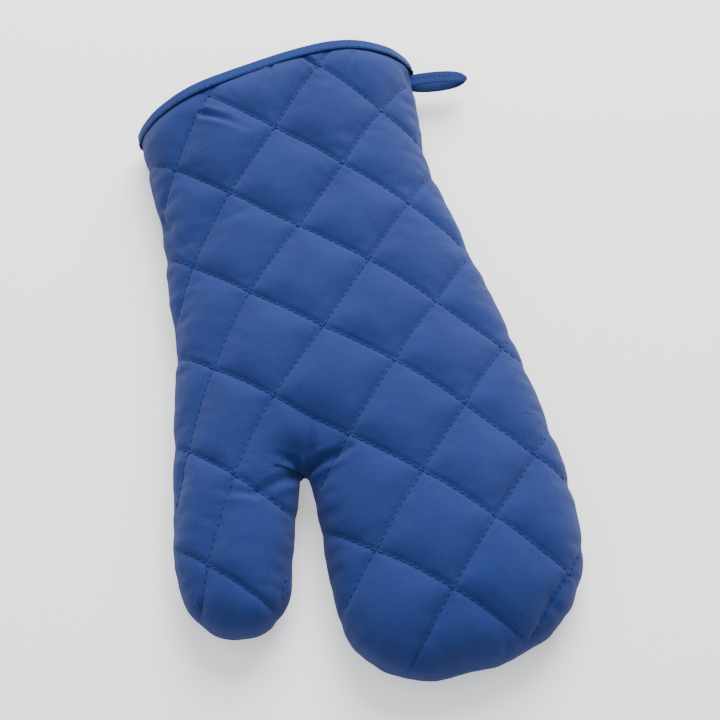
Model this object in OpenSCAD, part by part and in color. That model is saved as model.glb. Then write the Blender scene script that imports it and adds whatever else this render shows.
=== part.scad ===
// Quilted oven mitt, lying on its back panel with the fingertips towards -Y.
// Each panel is a cover, a layer of wadding and a lining, quilted in a diamond grid.
// The two panels are sewn together round the hand, turned, and bound at the cuff.

/* [Outline] */
// Width of the finger pocket
finger_w = 114; // [105:1:120]
// Length of the fingers, from the crotch of the thumb
finger_l = 100; // [92:0.5:108]
// Width of the thumb pocket
thumb_w = 48; // [44:1:52]
// Length of the thumb, from the crotch
thumb_l = 64; // [58:1:70]
// How far the thumb's outer side stands left of the crotch
thumb_reach = 64.5; // [60:0.5:68]
// Left and right side of the wrist, from the crotch
wrist_x = [-39.5, 92.5]; // [-110:0.5:110]
// Left and right end of the cuff edge, from the crotch
cuff_x = [-40.5, 99.5]; // [-110:0.5:110]
// Length of the left and right side of the mitt, from the crotch to the cuff
cuff_y = [192.5, 202]; // [150:0.5:240]
// How far the cuff edge bows out at its middle
cuff_bow = 8; // [0:0.5:15]
// Corner radius at the crotch
crotch_r = 2.2; // [1.5:0.1:3]

/* [Padding] */
// Height of the seam above the surface that the mitt lies on
seam_z = 12; // [10:0.5:16]
// Height that the padding's round edge rises from the seam
edge_h = 9; // [6:0.5:9]
// Width of the padding's round edge
edge_w = 12; // [8:0.5:16]
// Extra height of the front panel at the middle of the hand
dome_h = 12; // [8:0.5:18]
// Extra height of the front panel at the mouth
mouth_h = 7; // [0:0.5:12]
// How much each panel is pressed down under the binding
pinch_h = 1.4; // [1:0.1:2]

/* [Cloth] */
// Thickness of the cotton cover
cover_t = 0.6; // [0.4:0.1:0.8]
// Thickness of the wadding
wadding_t = 5.5; // [4:0.5:6]
// Thickness of the cotton lining
lining_t = 0.5; // [0.3:0.1:0.6]
// Distance between neighbouring rows of quilting
quilt_pitch = 38.1; // [30:0.1:50]
// Radius of the quilting thread
thread_r = 0.3; // [0.2:0.05:0.4]
// Width of the overlocked seam allowance inside the mitt
allowance = 8; // [6:0.5:10]

/* [Binding and loop] */
// Width of the binding that shows on the panel
binding_w = 5; // [4:0.5:8]
// Thickness of the folded binding
binding_t = 0.8; // [0.6:0.1:1.2]
// Width of the loop's folded tape
tape_w = 6.4; // [5:0.2:10]
// Thickness of the loop's folded tape
tape_t = 1.1; // [0.8:0.1:1.5]
// Length of the hanging loop outside the seam
loop_l = 26; // [20:1:40]
// Height of the loop's eye at its round end
eye_h = 5.4; // [5:0.1:6]
// Distance of the loop's root below the cuff edge
loop_drop = 10.5; // [10:0.5:16]
// How far the loop droops towards the fingers, in degrees
loop_droop = 10; // [0:1:20]

/* [Folds] */
// Distance of the thumb's fold line below the crotch
thumb_fold = 20; // [15:1:25]
// Distance of the fingers' fold line below the crotch
finger_fold = 25; // [20:1:35]
// Gap between the divided layers at a fold line
fold_gap = 0.3; // [0.2:0.05:0.5]

/* [Hidden] */

cover_blue = [0.19, 0.33, 0.62];
thread_blue = [0.05, 0.25, 0.6];
lining_blue = [0.17, 0.3, 0.57];
wadding_white = [0.93, 0.92, 0.88];
binding_blue = [0.22, 0.38, 0.68];

FRONT = 1;
BACK = -1;
layer_gap = 0.05;       // between the layers of one panel
cover_lip = 0.15;       // from the seam plane to each cover's edge
wadding_inset = 1.5;    // wadding stops this far inside the seam
lining_inset = 5.7;     // lining stops this far inside the seam
wadding_lip = 1.7;      // wadding keeps this far off the seam plane
overlock_half = 1.5;    // half the thickness of the overlocked edge
inset_reach = 22;       // insets fade out this far from the seam
dome_reach = 50;        // the front is level this far from the seam
flat_reach = 20;        // the back is flat this far from the seam
mouth_reach = 90;       // the mouth's bulge fades out this far from the cuff
pinch_reach = 12;       // the binding's pinch fades out this far from the cuff
seam_step = 8;          // longest straight segment of the seam line
row_clear = 2.5;        // quilting stops this far from the seam
row_sample = 3;         // spacing of the tests along a quilting row
row_step = 12;          // longest segment of a quilting thread
quilt_origin = [20.6, 60.2];  // a crossing of the quilting, from the crotch

// ---- Outline -----------------------------------------------------------

// Seam line from the left end of the cuff, round the thumb, the crotch and the
// fingers, to the right end of the cuff: corner points with their radii.
right_x = finger_w - 2.5;
seam_corners = [
    [cuff_x[0], cuff_y[0], 0],
    [wrist_x[0], 134.5, 160],
    [-45, 69.5, 200],
    [-thumb_reach, -22.5, 60],
    [-thumb_reach + 2.5, -thumb_l, thumb_w / 2 + 1],
    [thumb_w - thumb_reach - 5.3, -thumb_l, thumb_w / 2 - 3],
    [1.5, 15.5, crotch_r],
    [-2.5, -finger_l, 36],
    [right_x - 5, -finger_l, 52],
    [right_x, -22.5, 60],
    [107.5, 35, 200],
    [wrist_x[1], 144.5, 120],
    [cuff_x[1], cuff_y[1], 0]
];

function unit(v) = v / norm(v);
function xy(p) = [p[0], p[1]];
function end_of(list) = list[len(list) - 1];
function left_of(v) = [-v[1], v[0]];
function clamp01(t) = max(0, min(1, t));
function smooth(t) = t * t * (3 - 2 * t);
function ease(t) = t * (2 - t);

// Points of a round corner at b, between a and c. Each turn of 6 degrees takes a point.
function corner(a, b, c, r) =
    let (u = unit(a - b), w = unit(c - b),
         half = acos(max(-1, min(1, u * w))) / 2,
         mid = b + unit(u + w) * r / sin(half),
         start = b + u * r / tan(half),
         side = cross([u[0], u[1], 0], [w[0], w[1], 0])[2] > 0 ? -1 : 1,
         turn = 180 - 2 * half,
         n = max(2, ceil(turn / 6)),
         a0 = atan2(start[1] - mid[1], start[0] - mid[0]))
    [for (i = [0:n]) mid + r * [cos(a0 + side * turn * i / n), sin(a0 + side * turn * i / n)]];

// Points spaced at most `step` apart from a to b, without b
function straight(a, b, step) =
    let (n = max(1, ceil(norm(b - a) / step)))
    [for (i = [0:n - 1]) a + (b - a) * i / n];

seam_turns = [
    for (i = [0:len(seam_corners) - 1])
        let (p = seam_corners[i])
        p[2] == 0 ? [xy(p)]
                  : corner(xy(seam_corners[i - 1]), xy(p), xy(seam_corners[i + 1]), p[2])
];
seam = [
    for (i = [0:len(seam_turns) - 1])
        each i == 0 ? seam_turns[0]
                    : concat(straight(end_of(seam_turns[i - 1]), seam_turns[i][0], seam_step),
                             seam_turns[i])
];
// Drop repeated points
path = [for (i = [0:len(seam) - 1]) if (i == 0 || norm(seam[i] - seam[i - 1]) > 0.001) seam[i]];
last = len(path) - 1;

// Running length at each point of the path
function lengths(i = 0, total = 0, out = []) =
    i > last ? out
             : let (t = i == 0 ? 0 : total + norm(path[i] - path[i - 1]))
               lengths(i + 1, t, concat(out, [t]));
reach = lengths();

// Point and inward normal at running length s
function index_of(s) = max(0, len([for (r = reach) if (r <= s) 1]) - 1);
function at(s) =
    let (i = min(index_of(s), last - 1))
    path[i] + (path[i + 1] - path[i]) * (s - reach[i]) / (reach[i + 1] - reach[i]);
function inward(s) = left_of(unit(at(min(s + 1, reach[last])) - at(max(s - 1, 0))));

// Running lengths where the seam crosses the line through q with normal n
function crossings(q, n) = [
    for (i = [0:last - 1])
        let (f = (path[i] - q) * n, g = (path[i + 1] - q) * n)
        if (f * g <= 0 && f != g) reach[i] + (reach[i + 1] - reach[i]) * f / (f - g)
];

// Directions of the thumb and the fingers, towards their tips
thumb_dir = unit([-0.245, -0.97]);
finger_dir = [0, -1];
crotch_s = reach[nearest_index([0, 0])];
crotch = at(crotch_s);
thumb_root_s = crossings(crotch + thumb_dir * 0.1, thumb_dir)[0];
fingers_root_s = let (c = crossings(crotch + finger_dir * 0.1, finger_dir)) c[len(c) - 1];
thumb_fold_s = [
    for (g = [-1, 1])
        let (c = crossings(crotch + thumb_dir * (thumb_fold + g * fold_gap / 2), thumb_dir))
        [c[0], c[1]]
];
finger_fold_s = [
    for (g = [-1, 1])
        let (c = crossings(crotch + finger_dir * (finger_fold + g * fold_gap / 2), finger_dir))
        [c[len(c) - 2], c[len(c) - 1]]
];

function nearest_index(q) =
    let (dist = [for (p = path) norm(p - q)], low = min(dist))
    [for (i = [0:last]) if (dist[i] == low) i][0];

// ---- Cuff edge ---------------------------------------------------------

function cuff_at(t) =
    let (a = path[0], b = path[last])
    a + (b - a) * t + [0, cuff_bow * 4 * t * (1 - t)];
function cuff_line(x) = cuff_at(clamp01((x - path[0][0]) / (path[last][0] - path[0][0])))[1];

// ---- Height of the panels ----------------------------------------------

// Nearest point of the seam: [distance, inward direction x, y]
function to_seam(p) =
    let (near = [
            for (i = [0:last - 1])
                let (a = path[i], b = path[i + 1],
                     t = clamp01((p - a) * (b - a) / ((b - a) * (b - a))),
                     q = a + (b - a) * t)
                [norm(p - q), q[0], q[1], i]
         ],
         low = min([for (n = near) n[0]]),
         hit = [for (n = near) if (n[0] == low) n][0],
         along = unit(path[hit[3] + 1] - path[hit[3]]),
         dir = low > 0.01 ? unit(p - [hit[1], hit[2]]) : left_of(along))
    [low, dir[0], dir[1]];

function edge_rise(d) = let (t = 1 - min(d, edge_w) / edge_w) edge_h * sqrt(1 - t * t);
function pinch(d, y_left) =
    pinch_h * pow(clamp01(1 - y_left / pinch_reach), 2) * ease(clamp01(d / 10));
function bulge(y_left) = mouth_h * smooth(clamp01(1 - y_left / mouth_reach));

// Height of the outer face, d from the seam and y_left below the cuff edge
function outer_z(side, d, y_left) =
    side == FRONT
        ? seam_z + cover_lip + cover_t + edge_rise(d) + dome_h * ease(clamp01(d / dome_reach))
          + bulge(y_left) * ease(clamp01(d / 40)) - pinch(d, y_left)
        : seam_z - cover_lip - cover_t - edge_rise(d)
          - (seam_z - cover_lip - cover_t - edge_h) * ease(clamp01(d / flat_reach)) + pinch(d, y_left);

// ---- Grids over the plan of each body ----------------------------------

// Patch between four edges, each a list of points. top and bottom run left to
// right, left and right run top to bottom, and they share their corners.
function patch(top, bottom, left, right) =
    let (m = len(top) - 1, n = len(left) - 1)
    [for (i = [0:n]) [for (j = [0:m])
        let (v = i / n, u = span(top, j))
        i == 0 ? top[j] : i == n ? bottom[j] : j == 0 ? left[i] : j == m ? right[i] :
        let (vl = span(left, i), ub = span(bottom, j), uu = u * (1 - vl) + ub * vl)
        top[j] * (1 - vl) + bottom[j] * vl + left[i] * (1 - uu) + right[i] * uu
        - top[0] * (1 - uu) * (1 - vl) - top[m] * uu * (1 - vl)
        - bottom[0] * (1 - uu) * vl - bottom[m] * uu * vl]];

// Share of an edge's straight length at its point j
function span(edge, j) =
    let (m = len(edge) - 1, whole = run(edge, m))
    run(edge, j) / whole;
function run(edge, j) = j == 0 ? 0 : norm(edge[j] - edge[j - 1]) + run(edge, j - 1);

function crowd(t) = (1 - cos(180 * t)) / 2;          // close together at both ends
function crowd_end(t) = sin(90 * t);                 // close together at t = 1
function crowd_start(t) = 1 - cos(90 * t);           // close together at t = 0
function seam_run(s0, s1, shares) = [for (t = shares) at(s0 + (s1 - s0) * t)];
function line_run(a, b, shares) = [for (t = shares) a + (b - a) * t];

palm_cols = 18;
thumb_cols = 7;         // columns of the palm that lead into the thumb
palm_rows = 12;
root_rows = 3;          // rows from the crotch to a fold line
thumb_rows = 6;
finger_rows = 8;
cuff_shares = [for (j = [0:palm_cols]) crowd(j / palm_cols)];
palm_shares = [for (i = [0:palm_rows]) crowd(i / palm_rows)];
root_shares = [for (i = [0:root_rows]) crowd_start(i / root_rows)];
thumb_shares = [for (j = [0:thumb_cols]) crowd(j / thumb_cols)];
finger_cols = palm_cols - thumb_cols;
finger_shares = [for (j = [0:finger_cols]) crowd(j / finger_cols)];

// Crotch line: left seam, crotch, right seam
palm_bottom = [
    for (j = [0:palm_cols])
        j <= thumb_cols
            ? at(thumb_root_s) + (crotch - at(thumb_root_s)) * thumb_shares[j]
            : crotch + (at(fingers_root_s) - crotch) * finger_shares[j - thumb_cols]
];
palm_grid = patch([for (t = cuff_shares) cuff_at(t)], palm_bottom,
                  seam_run(0, thumb_root_s, palm_shares),
                  seam_run(reach[last], fingers_root_s, palm_shares));

// From the crotch line to each fold line
thumb_end = [at(thumb_fold_s[0][0]), at(thumb_fold_s[0][1])];
finger_end = [at(finger_fold_s[0][0]), at(finger_fold_s[0][1])];
thumb_root = patch([for (j = [0:thumb_cols]) palm_bottom[j]],
                   line_run(thumb_end[0], thumb_end[1], thumb_shares),
                   seam_run(thumb_root_s, thumb_fold_s[0][0], root_shares),
                   seam_run(crotch_s, thumb_fold_s[0][1], root_shares));
finger_root = patch([for (j = [thumb_cols:palm_cols]) palm_bottom[j]],
                    line_run(finger_end[0], finger_end[1], finger_shares),
                    seam_run(crotch_s, finger_fold_s[0][0], root_shares),
                    seam_run(fingers_root_s, finger_fold_s[0][1], root_shares));

// A pocket from its fold line to its tip. The seam from a to b is shared out as
// left side, tip and right side.
function pocket(a, b, cols, rows, side_share) =
    let (left_s = a + (b - a) * side_share, right_s = b - (b - a) * side_share)
    patch(line_run(at(a), at(b), cols),
          seam_run(left_s, right_s, cols),
          seam_run(a, left_s, [for (i = [0:rows]) crowd_end(i / rows)]),
          seam_run(b, right_s, [for (i = [0:rows]) crowd_end(i / rows)]));
thumb_grid = pocket(thumb_fold_s[1][0], thumb_fold_s[1][1], thumb_shares, thumb_rows, 0.36);
finger_grid = pocket(finger_fold_s[1][0], finger_fold_s[1][1], finger_shares, finger_rows, 0.32);

// ---- Sheets: [points with seam distance, quads, edge loop] --------------

function flat(grid) = [for (row = grid) each row];
function measured(points) = [for (p = points) concat(p, to_seam(p))];
function grid_quads(m, n, id) = [
    for (i = [0:n - 1]) for (j = [0:m - 1]) [id[i][j], id[i][j + 1], id[i + 1][j + 1], id[i + 1][j]]
];
function ids(m, n, first) = [for (i = [0:n]) [for (j = [0:m]) first + i * (m + 1) + j]];
function rim(id) =
    let (n = len(id) - 1, m = len(id[0]) - 1)
    concat([for (j = [0:m]) id[0][j]], [for (i = [1:n]) id[i][m]],
           [for (j = [m - 1:-1:0]) id[n][j]], [for (i = [n - 1:-1:1]) id[i][0]]);

palm_id = ids(palm_cols, palm_rows, 0);
thumb_first = (palm_cols + 1) * (palm_rows + 1);
finger_first = thumb_first + (thumb_cols + 1) * root_rows;
thumb_root_id = concat([[for (j = [0:thumb_cols]) palm_id[palm_rows][j]]],
                       ids(thumb_cols, root_rows - 1, thumb_first));
finger_root_id = concat([[for (j = [thumb_cols:palm_cols]) palm_id[palm_rows][j]]],
                        ids(finger_cols, root_rows - 1, finger_first));
palm_rim = concat(
    palm_id[0],
    [for (i = [1:palm_rows]) palm_id[i][palm_cols]],
    [for (i = [1:root_rows]) finger_root_id[i][finger_cols]],
    [for (j = [finger_cols - 1:-1:0]) finger_root_id[root_rows][j]],
    [for (i = [root_rows - 1:-1:1]) finger_root_id[i][0]],
    [palm_id[palm_rows][thumb_cols]],
    [for (i = [1:root_rows]) thumb_root_id[i][thumb_cols]],
    [for (j = [thumb_cols - 1:-1:0]) thumb_root_id[root_rows][j]],
    [for (i = [root_rows - 1:-1:1]) thumb_root_id[i][0]],
    [for (i = [palm_rows:-1:1]) palm_id[i][0]]
);
function rows_below(grid) = [for (i = [1:len(grid) - 1]) each grid[i]];

function sheet(body) =
    body == "palm" ? [
        measured(concat(flat(palm_grid), rows_below(thumb_root), rows_below(finger_root))),
        concat(grid_quads(palm_cols, palm_rows, palm_id),
               grid_quads(thumb_cols, root_rows, thumb_root_id),
               grid_quads(finger_cols, root_rows, finger_root_id)),
        palm_rim
    ] :
    let (grid = body == "thumb" ? thumb_grid : finger_grid,
         m = len(grid[0]) - 1, n = len(grid) - 1, id = ids(m, n, 0))
    [measured(flat(grid)), grid_quads(m, n, id), rim(id)];

// A sheet's point moved inwards by inset at the seam, fading out inside: [x, y, d]
function inset_point(q, inset) =
    let (move = inset * max(0, 1 - q[2] / inset_reach))
    [q[0] + q[3] * move, q[1] + q[4] * move, q[2] + move];

// Closed solid over a sheet. The points of one side are its upper faces, in the
// order of the sheet; the lower ones follow.
module slab(upper, lower, quads, loop) {
    n = len(upper);
    m = len(loop);
    polyhedron(
        points = concat(upper, lower),
        faces = concat(
            [for (q = quads) each [[q[0], q[1], q[2]], [q[0], q[2], q[3]]]],
            [for (q = quads) each [[n + q[0], n + q[2], n + q[1]], [n + q[0], n + q[3], n + q[2]]]],
            [for (i = [0:m - 1])
                let (a = loop[i], b = loop[(i + 1) % m])
                each [[a, n + a, n + b], [a, n + b, b]]]
        ),
        convexity = 8
    );
}

// One layer of a panel: depths below the outer face, kept `lip` off the seam plane
module layer(side, body, near, far, inset, lip) {
    s = sheet(body);
    flat_points = [for (q = s[0]) inset_point(q, inset)];
    face = [for (p = flat_points) outer_z(side, p[2], cuff_line(p[0]) - p[1])];
    outer = [for (i = [0:len(face) - 1]) [flat_points[i][0], flat_points[i][1], face[i] - side * near]];
    inner = [
        for (i = [0:len(face) - 1])
            let (z = face[i] - side * far, stop = seam_z + side * lip)
            [flat_points[i][0], flat_points[i][1], side == FRONT ? max(z, stop) : min(z, stop)]
    ];
    if (side == FRONT) slab(outer, inner, s[1], s[2]);
    else slab(inner, outer, s[1], s[2]);
}

wadding_near = cover_t + layer_gap;
wadding_far = wadding_near + wadding_t;
lining_near = wadding_far + layer_gap;
lining_far = lining_near + lining_t;

module cover(side, body) {
    color(cover_blue) layer(side, body, 0, cover_t, 0, cover_lip);
}

module wadding(side, body) {
    color(wadding_white) layer(side, body, wadding_near, wadding_far, wadding_inset, wadding_lip);
}

module lining(side, body) {
    color(lining_blue) layer(side, body, lining_near, lining_far, lining_inset, wadding_lip);
}

// ---- Threads -----------------------------------------------------------

// Closed tubes with square sections, one for each list of points. side_dir is
// a list of unit vectors across each tube.
function tube_points(line, across, r) = [
    for (i = [0:len(line) - 1])
        let (w = [across[i][0], across[i][1], 0], up = [0, 0, 1])
        each [line[i] + r * w, line[i] + r * up, line[i] - r * w, line[i] - r * up]
];
function tube_faces(n, first) = concat(
    [for (i = [0:n - 2]) for (k = [0:3])
        let (a = first + 4 * i, b = a + 4, l = (k + 1) % 4)
        each [[a + k, b + k, b + l], [a + k, b + l, a + l]]],
    [
        [first, first + 1, first + 2], [first, first + 2, first + 3],
        [first + 4 * n - 2, first + 4 * n - 3, first + 4 * n - 4],
        [first + 4 * n - 1, first + 4 * n - 2, first + 4 * n - 4]
    ]
);
function running(list, i = 0, total = 0, out = []) =
    i == len(list) ? out : running(list, i + 1, total + list[i], concat(out, [total]));

module tubes(lines, acrosses, r) {
    counts = [for (l = lines) len(l)];
    firsts = running([for (c = counts) 4 * c]);
    if (len(lines) > 0)
        polyhedron(
            points = [for (k = [0:len(lines) - 1]) each tube_points(lines[k], acrosses[k], r)],
            faces = [for (k = [0:len(lines) - 1]) each tube_faces(counts[k], firsts[k])],
            convexity = 8
        );
}

// Which body a point of the plan belongs to, for points inside the seam
function past_fold(p, dir, fold) = (p - crotch) * dir - fold;
function in_thumb(p) = past_fold(p, thumb_dir, thumb_fold) > 0.8 && p[0] < crotch[0];
function in_fingers(p) = past_fold(p, finger_dir, finger_fold) > 0.8 && p[0] > crotch[0] - 6;
function in_palm(p) =
    p[1] < cuff_line(p[0]) - binding_w - 1.5
    && (p[0] < crotch[0] ? past_fold(p, thumb_dir, thumb_fold) < -0.8
                         : past_fold(p, finger_dir, finger_fold) < -0.8);
function in_body(p, body) =
    body == "palm" ? in_palm(p) : body == "thumb" ? in_thumb(p) : in_fingers(p);

// A point is inside the mitt when a line to its right crosses the outline an odd
// number of times
outline = concat(path, [for (i = [9:-1:1]) cuff_at(i / 10)]);
function inside(p) =
    len([for (i = [0:len(outline) - 1])
            let (a = outline[i], b = outline[(i + 1) % len(outline)])
            if ((a[1] > p[1]) != (b[1] > p[1])
                && p[0] < a[0] + (b[0] - a[0]) * (p[1] - a[1]) / (b[1] - a[1])) 1]) % 2 == 1;

// Unbroken stretches of one row: lists of [x, y, d]
function stretches(base, dir, body, i, out, open) =
    i > 160 ? (len(open) > 2 ? concat(out, [open]) : out) :
    let (p = base + dir * (i - 80) * row_sample,
         ok = in_body(p, body) && inside(p),
         d = ok ? to_seam(p)[0] : 0)
    ok && d > row_clear
        ? stretches(base, dir, body, i + 1, out, concat(open, [[p[0], p[1], d]]))
        : stretches(base, dir, body, i + 1, len(open) > 2 ? concat(out, [open]) : out, []);
function thinned(line) =
    let (n = len(line) - 1, m = max(1, ceil(n * row_sample / row_step)))
    [for (i = [0:m]) line[round(i * n / m)]];

// The rows of one direction on one face of one body. Rising rows climb to the
// right, falling rows drop to the right.
module rows(side, body, rising) {
    dir = rising ? [sqrt(0.5), sqrt(0.5)] : [sqrt(0.5), -sqrt(0.5)];
    across = left_of(dir);
    lift = side == FRONT ? (rising ? 0.4 : 1) : (rising ? -1.1 : -1.7);
    lines = [
        for (k = [-7:7])
            each [for (l = stretches(quilt_origin + across * k * quilt_pitch, dir, body, 0, [], []))
                thinned(l)]
    ];
    raised = [
        for (l = lines) [
            for (p = l)
                [p[0], p[1], outer_z(side, p[2], cuff_line(p[0]) - p[1]) + side * lift * thread_r]
        ]
    ];
    color(thread_blue) tubes(raised, [for (l = lines) [for (p = l) across]], thread_r);
}

seam_thread_r = 0.12;
seam_thread_in = 0.8;

// Stretches of the seam that belong to each body
body_seams = [
    ["palm", [[0, thumb_fold_s[0][0]], [thumb_fold_s[0][1], finger_fold_s[0][0]],
              [finger_fold_s[0][1], reach[last]]]],
    ["thumb", [[thumb_fold_s[1][0], thumb_fold_s[1][1]]]],
    ["fingers", [[finger_fold_s[1][0], finger_fold_s[1][1]]]]
];
function seams_of(body) = [for (b = body_seams) if (b[0] == body) b[1]][0];

// Places along a stretch of seam, closer together where it turns
function places(stretch, step) =
    let (a = stretch[0], b = stretch[1],
         inner = [for (i = [0:last]) if (reach[i] > a + 1.5 && reach[i] < b - 1.5) reach[i]])
    concat([a], [for (i = [0:len(inner) - 1]) if (i == 0 || keeps(inner, i, step)) inner[i]], [b]);
function keeps(list, i, step) = floor(list[i] / step) != floor(list[i - 1] / step);

module side_seam(body) {
    color(thread_blue)
        tubes([for (r = seams_of(body)) [
                  for (s = places(r, 7)) let (p = at(s) + inward(s) * seam_thread_in) [p[0], p[1], seam_z]
              ]],
              [for (r = seams_of(body)) [for (s = places(r, 7)) inward(s)]],
              seam_thread_r);
}

// Overlocked edge of the seam allowance, standing into the mitt
module overlock(body) {
    color(thread_blue)
        for (r = seams_of(body)) {
            s = places(r, 3);
            n = len(s) - 1;
            edge = concat(
                [for (t = s) at(t) + inward(t) * wadding_inset],
                [for (t = s) at(t) + inward(t) * (wadding_inset + allowance)]
            );
            slab([for (p = edge) [p[0], p[1], seam_z + overlock_half]],
                 [for (p = edge) [p[0], p[1], seam_z - overlock_half]],
                 [for (i = [0:n - 1]) [i, n + 1 + i, n + 2 + i, i + 1]],
                 concat([for (i = [n:-1:0]) i], [for (i = [0:n]) n + 1 + i]));
        }
}

// ---- Binding round the mouth -------------------------------------------

// Loop round the mouth, in front and back: [x, z] with the x of the grid's columns.
// inner_from is where the loop turns back inside the seam.
function mouth_x(t, inner_from) =
    let (a = path[0][0] + inner_from, b = path[last][0] - inner_from) a + (b - a) * t;
function mouth_d(x) = to_seam([x, cuff_line(x)])[0];
function mouth_loop(depth, inner_from) =
    let (m = palm_cols)
    concat(
        [for (j = [0:m]) let (x = mouth_x(cuff_shares[j], inner_from))
            [x, outer_z(FRONT, mouth_d(x), 0) - depth]],
        [for (j = [m:-1:0]) let (x = mouth_x(cuff_shares[j], inner_from))
            [x, outer_z(BACK, mouth_d(x), 0) + depth]]
    );
// The same loop moved outwards
function grown(loop, by) =
    let (n = len(loop))
    [for (i = [0:n - 1])
        let (a = loop[(i + n - 1) % n], b = loop[(i + 1) % n], t = unit(b - a))
        loop[i] - by * [t[1], -t[0]]];

inner_mouth = wadding_inset + allowance + 0.6;
mouth_outer = mouth_loop(0, 0);
mouth_inner = mouth_loop(lining_far, inner_mouth);

// A strip swept round the mouth. Each corner of its section is a loop and its
// distance above the cuff line.
module ring(section) {
    n = len(section[0][0]);
    k = len(section);
    polyhedron(
        points = [for (i = [0:n - 1]) for (c = section)
            [c[0][i][0], cuff_line(c[0][i][0]) + c[1], c[0][i][1]]],
        faces = [for (i = [0:n - 1]) for (j = [0:k - 1])
            let (a = i * k, b = ((i + 1) % n) * k, l = (j + 1) % k)
            each [[a + j, b + l, b + j], [a + j, a + l, b + l]]],
        convexity = 8
    );
}

// Folded strip: outer leg, fold past the cloth's edge, inner leg
module cuff_binding() {
    far_edge = layer_gap + binding_t;
    outside = grown(mouth_outer, far_edge);
    pocket_out = grown(mouth_outer, layer_gap);
    pocket_in = grown(mouth_inner, -layer_gap);
    hollow = grown(mouth_inner, -far_edge);
    color(binding_blue)
        ring([
            [outside, -binding_w], [outside, far_edge], [hollow, far_edge], [hollow, -binding_w],
            [pocket_in, -binding_w], [pocket_in, layer_gap],
            [pocket_out, layer_gap], [pocket_out, -binding_w]
        ]);
}

// Row of stitching round the binding, near its lower edge
module binding_stitch() {
    r = 0.25;
    y = 1 - binding_w;
    low = layer_gap + binding_t;
    color(thread_blue)
        ring([
            [grown(mouth_outer, low), y - r], [grown(mouth_outer, low + r), y],
            [grown(mouth_outer, low), y + r], [grown(mouth_outer, low - r / 2), y]
        ]);
}

// ---- Hanging loop ------------------------------------------------------

loop_y = cuff_line(path[last][0]) - loop_drop;
loop_root_s = let (c = crossings([0, loop_y + tape_w / 2], [0, 1])) c[len(c) - 1];
loop_root_x = at(loop_root_s)[0] + 1.7;
loop_tip_r = eye_h / 2 + tape_t;
loop_end_x = loop_root_x + loop_l * cos(loop_droop) + tape_w / 2 * sin(loop_droop);

// Side view of the tape: two legs from the seam to a round end
module tape_outline(grow) {
    hull() {
        circle(r = 1.2 + grow, $fn = 24);
        translate([loop_l - loop_tip_r, 0]) circle(r = loop_tip_r + grow, $fn = 40);
    }
}

module tape_band(inner, outer, width, y) {
    translate([loop_root_x, loop_y, seam_z]) rotate([90, 0, -loop_droop])
        translate([0, 0, -y - width / 2]) linear_extrude(width) difference() {
            tape_outline(outer);
            tape_outline(inner);
        }
}

module hanging_loop() {
    color(cover_blue) tape_band(-tape_t, 0, tape_w, 0);
}

module loop_stitch() {
    color(thread_blue) tape_band(0, 0.2, 0.5, 0.9);
}

// ---- Whole mitt, with the middle of its base at the origin --------------

cuff_top = max([for (t = cuff_shares) cuff_at(t)[1]]) + layer_gap + binding_t;
shift = [
    -(loop_end_x - thumb_reach) / 2,
    -(cuff_top - finger_l) / 2,
    0
];

translate(shift) cover(FRONT, "palm");  // front_cover_palm
translate(shift) cover(FRONT, "thumb");  // front_cover_thumb
translate(shift) cover(FRONT, "fingers");  // front_cover_fingers
translate(shift) wadding(FRONT, "palm");  // front_wadding_palm
translate(shift) wadding(FRONT, "thumb");  // front_wadding_thumb
translate(shift) wadding(FRONT, "fingers");  // front_wadding_fingers
translate(shift) lining(FRONT, "palm");  // front_lining_palm
translate(shift) lining(FRONT, "thumb");  // front_lining_thumb
translate(shift) lining(FRONT, "fingers");  // front_lining_fingers
translate(shift) cover(BACK, "palm");  // back_cover_palm
translate(shift) cover(BACK, "thumb");  // back_cover_thumb
translate(shift) cover(BACK, "fingers");  // back_cover_fingers
translate(shift) wadding(BACK, "palm");  // back_wadding_palm
translate(shift) wadding(BACK, "thumb");  // back_wadding_thumb
translate(shift) wadding(BACK, "fingers");  // back_wadding_fingers
translate(shift) lining(BACK, "palm");  // back_lining_palm
translate(shift) lining(BACK, "thumb");  // back_lining_thumb
translate(shift) lining(BACK, "fingers");  // back_lining_fingers
translate(shift) rows(FRONT, "palm", true);  // front_rising_rows_palm
translate(shift) rows(FRONT, "thumb", true);  // front_rising_rows_thumb
translate(shift) rows(FRONT, "fingers", true);  // front_rising_rows_fingers
translate(shift) rows(FRONT, "palm", false);  // front_falling_rows_palm
translate(shift) rows(FRONT, "thumb", false);  // front_falling_rows_thumb
translate(shift) rows(FRONT, "fingers", false);  // front_falling_rows_fingers
translate(shift) rows(BACK, "palm", true);  // back_rising_rows_palm
translate(shift) rows(BACK, "thumb", true);  // back_rising_rows_thumb
translate(shift) rows(BACK, "fingers", true);  // back_rising_rows_fingers
translate(shift) rows(BACK, "palm", false);  // back_falling_rows_palm
translate(shift) rows(BACK, "thumb", false);  // back_falling_rows_thumb
translate(shift) rows(BACK, "fingers", false);  // back_falling_rows_fingers
translate(shift) side_seam("palm");  // side_seam_palm
translate(shift) side_seam("thumb");  // side_seam_thumb
translate(shift) side_seam("fingers");  // side_seam_fingers
translate(shift) overlock("palm");  // overlock_palm
translate(shift) overlock("thumb");  // overlock_thumb
translate(shift) overlock("fingers");  // overlock_fingers
translate(shift) cuff_binding();
translate(shift) binding_stitch();
translate(shift) hanging_loop();
translate(shift) loop_stitch();
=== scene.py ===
"""Looks of a quilted oven mitt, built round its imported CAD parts.

Every surface comes from a few driving sizes in millimetres, measured from the crotch of the
thumb. The crotch's own place is worked out from the CAD boxes. The cloth is a grid over the
seam outline, raised into padded panels, drawn down along the quilting rows and then
settled by a cloth simulation.
"""

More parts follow.
